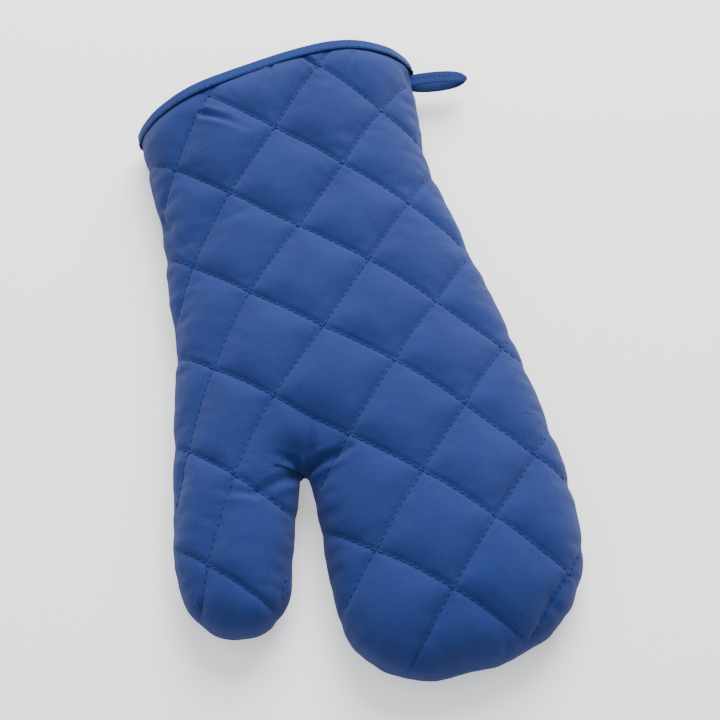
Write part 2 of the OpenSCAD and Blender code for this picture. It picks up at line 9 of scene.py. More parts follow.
import logging  # noqa: E402
import math  # noqa: E402
from dataclasses import dataclass, field  # noqa: E402
from enum import Enum  # noqa: E402
from typing import ClassVar  # noqa: E402

import bpy  # noqa: E402
import numpy as np  # noqa: E402
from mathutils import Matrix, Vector  # noqa: E402


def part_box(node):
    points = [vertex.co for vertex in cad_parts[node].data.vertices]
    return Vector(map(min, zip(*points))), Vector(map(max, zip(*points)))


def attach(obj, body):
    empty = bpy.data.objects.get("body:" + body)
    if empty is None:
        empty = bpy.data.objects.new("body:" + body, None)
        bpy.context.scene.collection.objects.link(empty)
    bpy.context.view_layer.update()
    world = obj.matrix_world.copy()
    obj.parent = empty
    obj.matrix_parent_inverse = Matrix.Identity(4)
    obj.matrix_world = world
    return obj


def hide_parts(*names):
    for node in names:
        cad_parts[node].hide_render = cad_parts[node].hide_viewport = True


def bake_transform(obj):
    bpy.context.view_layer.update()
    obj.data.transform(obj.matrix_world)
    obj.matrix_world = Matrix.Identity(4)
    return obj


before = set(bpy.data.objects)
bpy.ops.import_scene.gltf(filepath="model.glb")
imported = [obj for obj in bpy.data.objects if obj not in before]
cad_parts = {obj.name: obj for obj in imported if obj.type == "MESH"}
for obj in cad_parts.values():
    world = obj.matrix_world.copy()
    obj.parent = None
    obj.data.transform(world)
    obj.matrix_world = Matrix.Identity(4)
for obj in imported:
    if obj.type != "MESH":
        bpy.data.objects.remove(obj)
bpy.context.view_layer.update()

logging.basicConfig(level=logging.INFO, format="%(message)s")
LOG = logging.getLogger("mitt")

MM = 0.001
SEED = 7


# ---- Choices and driving sizes -------------------------------------------


class Side(Enum):
    """The two panels of the mitt."""

    FRONT = 1
    BACK = -1

    @property
    def word(self) -> str:
        """Name used in piece and node names."""
        return self.name.lower()


class Region(Enum):
    """The three parts that each layer is divided into."""

    PALM = 0
    THUMB = 1
    FINGERS = 2

    @property
    def word(self) -> str:
        """Name used in piece and node names."""
        return self.name.lower()


class Row(Enum):
    """The two directions of the quilting rows."""

    RISING = (math.sqrt(0.5), math.sqrt(0.5))
    FALLING = (math.sqrt(0.5), -math.sqrt(0.5))

    @property
    def along(self) -> np.ndarray:
        """Unit vector along the rows."""
        return np.array(self.value)

    @property
    def across(self) -> np.ndarray:
        """Unit vector across the rows."""
        return np.array([-self.value[1], self.value[0]])


@dataclass(frozen=True)
class MittSizes:
    """Driving dimensions of the mitt in millimetres, from the crotch of the thumb.

    The seam lies at height seam_z. The edge values are the round edge of a panel, the dome
    and mouth values are how far the front stands up in the middle and at the cuff, and the
    back values are how far the back sinks to the table. The blends are the lengths over
    which thumb and fingers bend.
    """

    finger_w: float = 114.0
    finger_l: float = 100.0
    thumb_w: float = 48.0
    thumb_l: float = 64.0
    thumb_reach: float = 64.5
    wrist_x: tuple[float, float] = (-39.5, 92.5)
    cuff_x: tuple[float, float] = (-40.5, 99.5)
    cuff_y: tuple[float, float] = (192.5, 202.0)
    cuff_bow: float = 8.0
    cuff_skew: float = 1.6
    crotch_r: float = 2.2
    seam_z: float = 12.0
    edge_h: float = 9.75
    edge_w: float = 12.0
    back_rest: float = 2.25
    back_reach: float = 20.0
    dome_h: float = 12.0
    dome_reach: float = 50.0
    mouth_h: float = 7.0
    mouth_reach: float = 90.0
    mouth_edge: float = 40.0
    thumb_blend: float = 40.0
    finger_blend: float = 50.0
    thumb_dir: tuple[float, float] = (-0.245, -0.97)


@dataclass(frozen=True)
class QuiltSizes:
    """Quilting of the panels in millimetres.

    The valley, puff, groove and pucker are heights. The drift, crowd, lean and bow say how
    far the rows stray from a straight grid. Each ripple value belongs to the gathers beside
    a row: their spacing, how far they reach and where they start.
    """

    pitch: float = 38.1
    origin: tuple[float, float] = (20.6, 60.2)
    valley: float = 1.1
    puff: float = 0.5
    roundness: float = 3.0
    groove: float = 0.65
    groove_w: float = 1.1
    pucker: float = 0.1
    ripple_l: float = 7.5
    ripple_reach: float = 2.4
    ripple_from: float = 1.2
    seam_fade: float = 14.0
    drift: float = 0.9
    crowd: float = 1.3
    lean: float = 0.002
    lean_from: float = 0.65
    bow: float = 5.0
    bow_reach: float = 65.0
    bow_at: float = 0.95
    stitch_pitch: float = 3.3
    stitch_l: float = 2.7
    thread_r: float = 0.33
    clear: float = 1.6


@dataclass(frozen=True)
class ClothSizes:
    """Thicknesses of the layers in millimetres.

    The panel, row and mouth values are the depth of the lining below the cover in a
    diamond, on a row and under the binding. The hem is the stretch below the cuff over
    which the binding lets go of the layers.
    """

    cover_t: float = 0.45
    gap: float = 0.12
    panel_t: float = 6.6
    row_t: float = 1.9
    mouth_t: float = 3.4
    lining_t: float = 0.4
    wadding_inset: float = 3.6
    lining_inset: float = 5.7
    hem: tuple[float, float] = (5.0, 17.0)
    lip: float = 1.7
    allowance: float = 8.0


SIZES = MittSizes()
QUILT = QuiltSizes()
CLOTH = ClothSizes()


# ---- Small functions -------------------------------------------------------


def unit(v: np.ndarray) -> np.ndarray:
    """Vectors of length one.

    Args:
        v: Vectors along the last axis.

    Returns:
        The same directions with length one.
    """
    return v / np.maximum(np.linalg.norm(v, axis=-1, keepdims=True), 1e-9)


def ramp(t: np.ndarray) -> np.ndarray:
    """Value held between 0 and 1."""
    return np.clip(t, 0.0, 1.0)


def smooth(t: np.ndarray) -> np.ndarray:
    """Smooth step of a value held between 0 and 1: 3 t squared less 2 t cubed."""
    t = ramp(t)
    return t * t * (3 - 2 * t)


def ease(t: np.ndarray) -> np.ndarray:
    """Curve that starts steeply and ends level at 1: 2 t less t squared."""
    t = ramp(t)
    return t * (2 - t)


def shares(count: int, start: float, end: float, reach: float) -> np.ndarray:
    """Places from 0 to 1, closer together at each end.

    The spacing is 1 - start * exp(-t / reach) - end * exp(-(1 - t) / reach), summed and
    scaled to reach 1.

    Args:
        count: Number of steps.
        start: How much closer together the places are at the start, from 0 to 1.
        end: The same at the end.
        reach: Share of the length over which the spacing opens out.

    Returns:
        count + 1 rising values.
    """
    t = np.linspace(0.0, 1.0, count + 1)
    far = math.exp(-1 / reach)
    total = t - start * reach * (1 - np.exp(-t / reach)) - end * reach * (np.exp(-(1 - t) / reach) - far)
    return total / total[-1]


def arc_share(line: np.ndarray) -> np.ndarray:
    """Share of a line's length at each of its points.

    Args:
        line: Points along the line.

    Returns:
        Values from 0 to 1.
    """
    steps = np.linalg.norm(np.diff(line, axis=0), axis=1)
    run = np.concatenate([[0.0], np.cumsum(steps)])
    return run / run[-1]


def coons(top: np.ndarray, bottom: np.ndarray, left: np.ndarray, right: np.ndarray) -> np.ndarray:
    """Grid of points between four edges.

    Each point is the mix of top and bottom, plus the mix of left and right, less the mix
    of the four corners.

    Args:
        top: Points from left to right.
        bottom: Points from left to right.
        left: Points from top to bottom.
        right: Points from top to bottom.

    Returns:
        Array of rows, columns and coordinates.
    """
    v = arc_share(left)[:, None]
    u = arc_share(top)[None] * (1 - v) + arc_share(bottom)[None] * v
    u, v = u[..., None], v[..., None]
    return (
        top[None] * (1 - v) + bottom[None] * v + left[:, None] * (1 - u) + right[:, None] * u
        - top[0] * (1 - u) * (1 - v) - top[-1] * u * (1 - v)
        - bottom[0] * (1 - u) * v - bottom[-1] * u * v
    )


def vertex_normals(points: np.ndarray, quads: np.ndarray) -> np.ndarray:
    """Unit normals of a mesh of quads, each face weighted by its area.

    Args:
        points: Vertices.
        quads: Faces.

    Returns:
        One unit vector for each vertex.
    """
    a, b, c, d = (points[quads[:, k]] for k in range(4))
    face = np.cross(c - a, d - b)
    total = np.zeros_like(points)
    for k in range(4):
        for axis in range(3):
            total[:, axis] += np.bincount(quads[:, k], face[:, axis], len(points))
    return unit(total)


def rim_edges(quads: np.ndarray) -> np.ndarray:
    """Directed edges that only one quad uses, in that quad's direction.

    Args:
        quads: Faces.

    Returns:
        Pairs of vertex numbers.
    """
    pairs = np.concatenate([quads[:, [k, (k + 1) % 4]] for k in range(4)])
    key = np.sort(pairs, axis=1)
    _, first, count = np.unique(key, axis=0, return_index=True, return_counts=True)
    return pairs[first[count == 1]]


class ValueNoise:
    """Smooth seeded noise between -1 and 1 on a repeating lattice."""

    def __init__(self, seed: int, cells: int = 64) -> None:
        """Draws the lattice.

        Args:
            seed: Seed of the draw.
            cells: Lattice points along each side.
        """
        self.cells = cells
        self.lattice = np.random.default_rng(seed).uniform(-1, 1, (cells, cells))

    def __call__(self, x: np.ndarray, y: np.ndarray) -> np.ndarray:
        """Noise at places in lattice steps.

        Args:
            x: Places along the first axis.
            y: Places along the second axis.

        Returns:
            Values between -1 and 1, the smooth mix of the four lattice points round each place.
        """
        i, j = np.floor(x).astype(int), np.floor(y).astype(int)
        u, v = smooth(x - i), smooth(y - j)
        i0, j0 = i % self.cells, j % self.cells
        i1, j1 = (i + 1) % self.cells, (j + 1) % self.cells
        low = self.lattice[i0, j0] * (1 - u) + self.lattice[i1, j0] * u
        high = self.lattice[i0, j1] * (1 - u) + self.lattice[i1, j1] * u
        return low * (1 - v) + high * v


# ---- Seam outline ------------------------------------------------------------


@dataclass
class Nearness:
    """What the seam is like at its nearest point, for a set of places in the plan."""

    xy: np.ndarray
    d: np.ndarray
    inward: np.ndarray
    run: np.ndarray
    soft: np.ndarray


class Outline:
    """Seam line from the cuff's left end, round thumb, crotch and fingers, to its right end."""

    STEP = 0.75
    SOFTNESS = 8

    def __init__(self, sizes: MittSizes) -> None:
        """Rounds the corners and spaces points along the seam.

        Args:
            sizes: Driving dimensions.
        """
        self.sizes = sizes
        corners = self._corners()
        pieces = [corners[:1, :2]]
        for a, b, c in zip(corners[:-2], corners[1:-1], corners[2:]):
            pieces.append(self._round(a[:2], b[:2], c[:2], b[2]))
        pieces.append(corners[-1:, :2])
        line = np.concatenate(pieces)
        run = np.concatenate([[0.0], np.cumsum(np.linalg.norm(np.diff(line, axis=0), axis=1))])
        self.length = float(run[-1])
        self.runs = np.linspace(0, self.length, int(self.length / self.STEP) + 1)
        self.path = np.stack([np.interp(self.runs, run, line[:, k]) for k in (0, 1)], axis=1)
        self.crotch_s = float(self.runs[np.argmin(np.linalg.norm(self.path, axis=1))])
        self.crotch = self.at(np.array([self.crotch_s]))[0]
        self.thumb_dir = unit(np.array(sizes.thumb_dir))
        self.finger_dir = np.array([0.0, -1.0])
        self.thumb_root_s = self._crossings(self.thumb_dir)[0]
        self.fingers_root_s = self._crossings(self.finger_dir)[-1]

    def _corners(self) -> np.ndarray:
        """Corner points of the seam with their radii."""
        s = self.sizes
        right = s.finger_w - 2.5
        tip = s.thumb_w / 2
        return np.array([
            [s.cuff_x[0], s.cuff_y[0], 0],
            [s.wrist_x[0], 134.5, 160],
            [-45, 69.5, 200],
            [-s.thumb_reach, -22.5, 60],
            [-s.thumb_reach + 2.5, -s.thumb_l, tip + 1],
            [s.thumb_w - s.thumb_reach - 5.3, -s.thumb_l, tip - 3],
            [1.5, 15.5, s.crotch_r],
            [-2.5, -s.finger_l, 36],
            [right - 5, -s.finger_l, 52],
            [right, -22.5, 60],
            [107.5, 35, 200],
            [s.wrist_x[1], 144.5, 120],
            [s.cuff_x[1], s.cuff_y[1], 0],
        ])

    @staticmethod
    def _round(a: np.ndarray, b: np.ndarray, c: np.ndarray, radius: float) -> np.ndarray:
        """Points of a round corner at b, between a and c.

        Args:
            a: Corner before.
            b: Corner to round.
            c: Corner after.
            radius: Radius in millimetres.

        Returns:
            Points of the arc that touches both sides.
        """
        u, w = unit(a - b), unit(c - b)
        half = math.acos(float(np.clip(u @ w, -1, 1))) / 2
        centre = b + unit(u + w) * radius / math.sin(half)
        start = b + u * radius / math.tan(half)
        turn = math.pi - 2 * half
        way = -1.0 if u[0] * w[1] - u[1] * w[0] > 0 else 1.0
        first = math.atan2(start[1] - centre[1], start[0] - centre[0])
        angles = first + way * np.linspace(0, turn, max(3, int(turn / 0.04)))
        return centre + radius * np.stack([np.cos(angles), np.sin(angles)], axis=1)

    def _crossings(self, normal: np.ndarray) -> np.ndarray:
        """Running lengths where the seam crosses the line through the crotch.

        Args:
            normal: Unit vector square to the line.

        Returns:
            Running lengths in millimetres.
        """
        f = (self.path - (self.crotch + normal * 0.1)) @ normal
        hit = np.nonzero(f[:-1] * f[1:] <= 0)[0]
        return self.runs[hit] + self.STEP * f[hit] / (f[hit] - f[hit + 1])

    def at(self, s: np.ndarray) -> np.ndarray:
        """Points of the seam at running lengths s."""
        return np.stack([np.interp(s, self.runs, self.path[:, k]) for k in (0, 1)], axis=-1)

    def inward(self, s: np.ndarray) -> np.ndarray:
        """Unit vectors into the mitt at running lengths s."""
        ahead = unit(self.at(np.minimum(s + 1, self.length)) - self.at(np.maximum(s - 1, 0)))
        return np.stack([-ahead[..., 1], ahead[..., 0]], axis=-1)

    def cuff(self, t: np.ndarray) -> np.ndarray:
        """Points of the cuff edge at shares t of its width: a straight line with a bow.

        Args:
            t: Shares from 0 to 1.

        Returns:
            Places in the plan.
        """
        t = np.asarray(t)[..., None]
        a, b = self.path[0], self.path[-1]
        bow = 4 * self.sizes.cuff_bow * t * (1 - t) - self.sizes.cuff_skew * np.sin(2 * np.pi * t)
        return a + (b - a) * t + bow * np.array([0.0, 1.0])

    def below_cuff(self, xy: np.ndarray) -> np.ndarray:
        """Distance of plan points below the cuff edge, along the mitt."""
        a, b = self.path[0, 0], self.path[-1, 0]
        return self.cuff(ramp((xy[:, 0] - a) / (b - a)))[:, 1] - xy[:, 1]

    def inside(self, xy: np.ndarray) -> np.ndarray:
        """Whether points lie in the outline: a line to the right crosses it an odd number of times.

        Args:
            xy: Places in the plan.

        Returns:
            True where a place is inside.
        """
        ring = np.concatenate([self.path, self.cuff(np.linspace(1, 0, 40)[1:-1])])
        a, b = ring, np.roll(ring, -1, axis=0)
        rise = np.where(b[:, 1] == a[:, 1], 1e-9, b[:, 1] - a[:, 1])
        count = np.zeros(len(xy), int)
        for block in np.array_split(np.arange(len(xy)), max(1, len(xy) // 4000)):
            x, y = xy[block, 0][:, None], xy[block, 1][:, None]
            spans = (a[:, 1] > y) != (b[:, 1] > y)
            count[block] = (spans & (x < a[:, 0] + (b[:, 0] - a[:, 0]) * (y - a[:, 1]) / rise)).sum(1)
        return count % 2 == 1

    def near(self, xy: np.ndarray) -> Nearness:
        """Nearest seam point of each place, and a soft distance without ridges.

        The soft distance is the seam's sum of distance to the power -p, taken back to the
        power -1 / (p - 1) and scaled so that it is exact beside a straight seam.

        Args:
            xy: Places in the plan.

        Returns:
            Distances, inward directions and running lengths.
        """
        p = self.SOFTNESS
        straight = math.sqrt(math.pi) * math.gamma((p - 1) / 2) / math.gamma(p / 2) / self.STEP
        hit = np.zeros(len(xy), int)
        soft = np.zeros(len(xy))
        for block in np.array_split(np.arange(len(xy)), max(1, len(xy) // 4000)):
            square = ((xy[block, None] - self.path[None]) ** 2).sum(2)
            hit[block] = square.argmin(1)
            soft[block] = (np.maximum(square, 1.0) ** (-p / 2)).sum(1)
        soft = (soft / straight) ** (-1 / (p - 1))
        best = np.full(len(xy), np.inf)
        point, run = self.path[hit].copy(), self.runs[hit].copy()
        last = len(self.path) - 1
        for first in (hit - 1, hit):
            i = np.clip(first, 0, last - 1)
            a, ab = self.path[i], self.path[i + 1] - self.path[i]
            t = ramp(((xy - a) * ab).sum(1) / (ab * ab).sum(1))
            q = a + ab * t[:, None]
            dist = np.linalg.norm(xy - q, axis=1)
            closer = dist < best
            best = np.where(closer, dist, best)
            point = np.where(closer[:, None], q, point)
            run = np.where(closer, self.runs[i] + t * self.STEP, run)
        normal, way = self.inward(run), unit(xy - point)
        outside = (normal * way).sum(1) < -0.2
        best = np.where(outside, 0.0, best)
        inward = np.where((best > 0.05)[:, None], way, normal)
        return Nearness(xy, best, inward, run, np.minimum(soft, best + 8))


# ---- Quilting ----------------------------------------------------------------


class Quilting:
    """Diamond grid of quilting rows, each wandering a little from its straight line."""

    def __init__(self, sizes: QuiltSizes, outline: Outline) -> None:
        """Keeps the sizes.

        Args:
            sizes: Pitch, depth and stitches.
            outline: Seam outline that the rows stop at.
        """
        self.sizes = sizes
        self.outline = outline
        self.wander = ValueNoise(SEED)
        self.ripple = ValueNoise(SEED + 1)

    def drift(self, row: Row, k: np.ndarray, s: np.ndarray) -> np.ndarray:
        """How far row k has moved sideways at length s.

        Slow noise plus a little quicker noise. Rising rows also stand a little closer
        together and lean towards the thumb, by the square of the length past a place.
        Falling rows bow up over the middle of the hand, as a bell.

        Args:
            row: Direction of the rows.
            k: Row numbers.
            s: Lengths along the rows.

        Returns:
            Millimetres across the rows.
        """
        sizes = self.sizes
        lane = k * 7.3 + (0.5 if row is Row.RISING else 31.5)
        slow = self.wander(s / 55 + 20, lane)
        wander = sizes.drift * (slow + 0.35 * self.wander(s / 17 + 40, lane + 3.7))
        if row is Row.RISING:
            past = np.maximum(0, np.where(k < 0, -50.0, sizes.pitch * (k - sizes.lean_from)) - s)
            lean = sizes.lean * np.select([k >= 0, k == -1], [1.0, 2.0], 0.0)
            return wander - sizes.crowd * k - lean * past**2
        middle = sizes.pitch * (sizes.bow_at - k)
        return wander + sizes.bow * (np.exp(-(((s - middle) / sizes.bow_reach) ** 2)) - 0.4)

    def offset(self, row: Row, xy: np.ndarray) -> tuple[np.ndarray, np.ndarray, np.ndarray]:
        """Distance from the nearest row of one direction.

        Args:
            row: Direction of the rows.
            xy: Places in the plan.

        Returns:
            Signed distance across, length along, and the row's number.
        """
        rel = xy - np.array(self.sizes.origin)
        across, along = rel @ row.across, rel @ row.along
        first = np.round(across / self.sizes.pitch)
        best, number = np.full(len(xy), np.inf), first
        for k in (first - 1, first, first + 1):
            q = across - k * self.sizes.pitch - self.drift(row, k, along)
            number = np.where(np.abs(q) < np.abs(best), k, number)
            best = np.where(np.abs(q) < np.abs(best), q, best)
        return best, along, number

    def relief(self, near: Nearness, below: np.ndarray, side: Side) -> np.ndarray:
        """Height of the quilted cloth over the plain panel.

        Each diamond is a pillow: the product of two humps 1 - (1 - q / h) ** r, for the
        distances q to the rows of each direction and half the pitch h. It fades out
        towards the seam, and a narrow groove and small ripples follow the threads.

        Args:
            near: Places with their seam distances.
            below: Distances below the cuff edge.
            side: Panel. The back lies on a surface and so only dips.

        Returns:
            Heights in millimetres.
        """
        s = self.sizes
        pillow, groove, ripple = 1.0, 0.0, 0.0
        for row in Row:
            q, along, k = self.offset(row, near.xy)
            t = ramp(np.abs(q) / (s.pitch / 2))
            pillow = pillow * (1 - (1 - t) ** s.roundness)
            groove = groove + np.exp(-((q / s.groove_w) ** 2))
            phase = 2 * np.pi * along / s.ripple_l + 5 * self.ripple(along / 30, k + 9 + np.sign(q))
            strength = 0.6 + 0.8 * self.ripple(along / 21 + 5, k * 3.1 + np.sign(q))
            fade = np.exp(-np.abs(q) / s.ripple_reach) * ramp(np.abs(q) / s.ripple_from)
            ripple = ripple + strength * np.sin(phase) * fade
        puff = s.puff if side is Side.FRONT else 0.0
        inner = 0.3 + 0.7 * smooth(near.d / s.seam_fade)
        stops = smooth((near.d - 0.4) / 4)
        height = (s.valley * (pillow - 1) + puff * pillow) * inner
        height = height - s.groove * np.minimum(groove, 1) * stops + s.pucker * ripple * stops
        return height * smooth((below - 1.5) / 9)

    def row_points(self, row: Row, k: np.ndarray, s: np.ndarray) -> np.ndarray:
        """Places in the plan on row k at lengths s."""
        across = k * self.sizes.pitch + self.drift(row, k, s)
        return np.array(self.sizes.origin) + across[..., None] * row.across + s[..., None] * row.along


# ---- Surface of the panels -----------------------------------------------------


@dataclass(frozen=True)
class Crease:
    """A fold in the front cover, from start to end in the plan."""

    start: tuple[float, float]
    end: tuple[float, float]
    depth: float
    width: float

    def dip(self, xy: np.ndarray) -> np.ndarray:
        """Depth of the fold: a bell across it with a small ridge on both sides, fading at its ends.

        Args:
            xy: Places in the plan.

        Returns:
            Heights in millimetres, below zero in the fold.
        """
        a, b = np.array(self.start), np.array(self.end)
        t = ((xy - a) @ (b - a)) / ((b - a) @ (b - a))
        side = np.linalg.norm(xy - (a + (b - a) * ramp(t)[:, None]), axis=1) / self.width
        strength = 1 - 0.75 * smooth(t)
        bell = np.exp(-(side**2))
        ridge = 0.35 * np.exp(-((side - 2.1) ** 2) / 0.7)
        return -self.depth * strength * (bell - ridge)


CREASES = (
    Crease((2.0, 0.5), (21.0, 2.0), 2.2, 1.9),
    Crease((-2.5, 0.0), (-24.0, -8.5), 1.9, 1.9),
    Crease((-24.0, -8.5), (-40.0, -3.0), 0.9, 1.8),
    Crease((-3.0, 3.5), (-10.5, 7.0), 1.3, 1.5),
    Crease((3.5, 5.0), (7.0, 17.0), 1.0, 1.8),
    Crease((98.0, 191.0), (90.0, 189.5), 2.0, 3.4),
    Crease((-8.5, 181.5), (10.5, 167.5), 1.7, 1.6),
    Crease((-38.5, 140.0), (-30.0, 113.0), 1.5, 1.7),
    Crease((98.5, 146.5), (86.5, 134.0), 1.2, 1.6),
    Crease((29.0, 199.0), (24.0, 188.0), 1.2, 1.2),
    Crease((47.0, 200.0), (52.0, 190.0), 1.0, 1.2),
    Crease((69.0, 198.5), (63.0, 187.0), 0.9, 1.3),
)


class PanelShape:
    """Outer face of both panels, as a function of the place in the plan.

    The binding holds the panel PINCH down to PINCH_L below the cuff and lets go over
    PINCH_FADE. The mitt's edge is drawn in over EDGE_REACH, the seam's own groove is
    SEAM_DEPTH deep, and ROW_REACH is half the width of a row's pull. WAVES holds the height
    and the step of the wide and the small wrinkles. The back stays over FLOOR.
    """

    PINCH, PINCH_L, PINCH_FADE = 2.1, 4.6, 9.0
    EDGE_REACH, ROW_REACH, SEAM_DEPTH = 7.0, 3.4, 0.9
    TUCK_L, PUCKER_L = 5.3, 4.2
    WAVES = ((0.34, 16.0), (0.19, 6.0))
    FLOOR = 0.02

    def __init__(self, sizes: MittSizes, outline: Outline, quilting: Quilting) -> None:
        """Keeps the driving sizes and draws the wrinkle noise.

        Args:
            sizes: Driving dimensions.
            outline: Seam outline.
            quilting: Rows and their relief.
        """
        self.sizes = sizes
        self.outline = outline
        self.quilting = quilting
        self.soft_noise = ValueNoise(SEED + 2)
        self.edge_noise = ValueNoise(SEED + 3)

    def rise(self, d: np.ndarray) -> np.ndarray:
        """Round edge of the padding: a quarter of an ellipse."""
        t = 1 - ramp(d / self.sizes.edge_w)
        return self.sizes.edge_h * np.sqrt(1 - t * t)

    def pinch(self, below: np.ndarray, d: np.ndarray) -> np.ndarray:
        """How far the binding holds the panel down: level under it, then a parabola."""
        return self.PINCH * (1 - ramp((below - self.PINCH_L) / self.PINCH_FADE)) ** 2 * ease(d / 8)

    def plain(self, side: Side, near: Nearness, below: np.ndarray) -> np.ndarray:
        """Height of the panel without its quilting.

        Args:
            side: Panel.
            near: Places with their seam distances.
            below: Distances below the cuff edge.

        Returns:
            Heights above the floor in millimetres.
        """
        s = self.sizes
        pinch = self.pinch(below, near.d)
        if side is Side.BACK:
            return s.seam_z - self.rise(near.d) - s.back_rest * ease(near.d / s.back_reach) + pinch
        mouth = s.mouth_h * smooth(1 - below / s.mouth_reach)
        dome = s.dome_h * ease(near.soft / s.dome_reach) + mouth * ease(near.soft / s.mouth_edge)
        return s.seam_z + self.rise(near.d) + dome - pinch

    def wrinkles(self, side: Side, near: Nearness, below: np.ndarray) -> np.ndarray:
        """Soft unevenness of the cloth, puckers at the seam, and the front's creases.

        Args:
            side: Panel.
            near: Places with their seam distances.
            below: Distances below the cuff edge.

        Returns:
            Heights in millimetres.
        """
        x, y = near.xy[:, 0], near.xy[:, 1]
        noise = self.soft_noise
        (wide_h, wide), (small_h, small) = self.WAVES
        soft = wide_h * noise(x / wide + 5, y / wide + 5) + small_h * noise(x / small + 30, y / small + 9)
        lane = 9.5 if side is Side.FRONT else 41.5
        tuck = self.edge_noise(near.run / self.PUCKER_L, np.full_like(near.run, lane))
        edge = 0.55 * tuck * np.exp(-(((near.d - 4.5) / 4.0) ** 2))
        total = (soft * smooth(near.d / 6) + edge) * smooth((below - 3) / 8)
        if side is Side.FRONT:
            folds = sum(crease.dip(near.xy) for crease in CREASES)
            total = total + folds * smooth(near.d / 2.5) * smooth((below - 3) / 4)
        return total

    def surface(self, side: Side, near: Nearness, lift: float = 0.0, flat: bool = False) -> np.ndarray:
        """Points of the outer face.

        Args:
            side: Panel.
            near: Places in the plan with their seam distances.
            lift: Extra height along the face's normal.
            flat: Leaves the quilting and wrinkles out.

        Returns:
            Points in millimetres.
        """
        below = self.outline.below_cuff(near.xy)
        z = self.plain(side, near, below)
        step = 0.05
        ahead = Nearness(near.xy + near.inward * step, near.d + step, near.inward, near.run, near.soft + step)
        slope = (self.plain(side, ahead, self.outline.below_cuff(ahead.xy)) - z) / step
        normal = np.concatenate([-slope[:, None] * near.inward, np.ones((len(z), 1))], axis=1)
        normal = unit(normal) * side.value
        points = np.concatenate([near.xy, z[:, None]], axis=1)
        height = np.full(len(z), float(lift))
        if not flat:
            height = height + self.quilting.relief(near, below, side) + self.wrinkles(side, near, below)
        points = points + normal * height[:, None]
        return self._drawn_in(points, near, below, side)

    def edge_pull(self, near: Nearness, below: np.ndarray) -> np.ndarray:
        """How far the mitt's edge is drawn in: at the ends of the rows, and by uneven tucks.

        Args:
            near: Places with their seam distances.
            below: Distances below the cuff edge.

        Returns:
            Millimetres inwards.
        """
        rows = sum(np.exp(-((self.quilting.offset(row, near.xy)[0] / self.ROW_REACH) ** 2)) for row in Row)
        tuck = self.edge_noise(near.run / self.TUCK_L, np.full_like(near.run, 3.5))
        edge = (0.65 * np.minimum(rows, 1) + 0.35 * tuck - 0.45) * np.exp(-near.d / self.EDGE_REACH)
        return edge * smooth((below - 1) / 8)

    def _drawn_in(self, points: np.ndarray, near: Nearness, below: np.ndarray, side: Side) -> np.ndarray:
        """Pulls the face in along the seam line, more where a row of quilting ends.

        Args:
            points: Points of the face.
            near: Their places with seam distances.
            below: Distances below the cuff edge.
            side: Panel.

        Returns:
            The moved points.
        """
        s = self.sizes
        seam = self.SEAM_DEPTH * np.exp(-np.abs(points[:, 2] - s.seam_z) / 0.8) * np.exp(-near.d / 1.5)
        pull = self.edge_pull(near, below) + seam * smooth(below / 6)
        points = points + np.concatenate([near.inward * pull[:, None], np.zeros((len(points), 1))], axis=1)
        if side is Side.BACK:
            points[:, 2] = np.maximum(points[:, 2], self.FLOOR)
        return points


# ---- Sheets: grids over the plan -------------------------------------------------


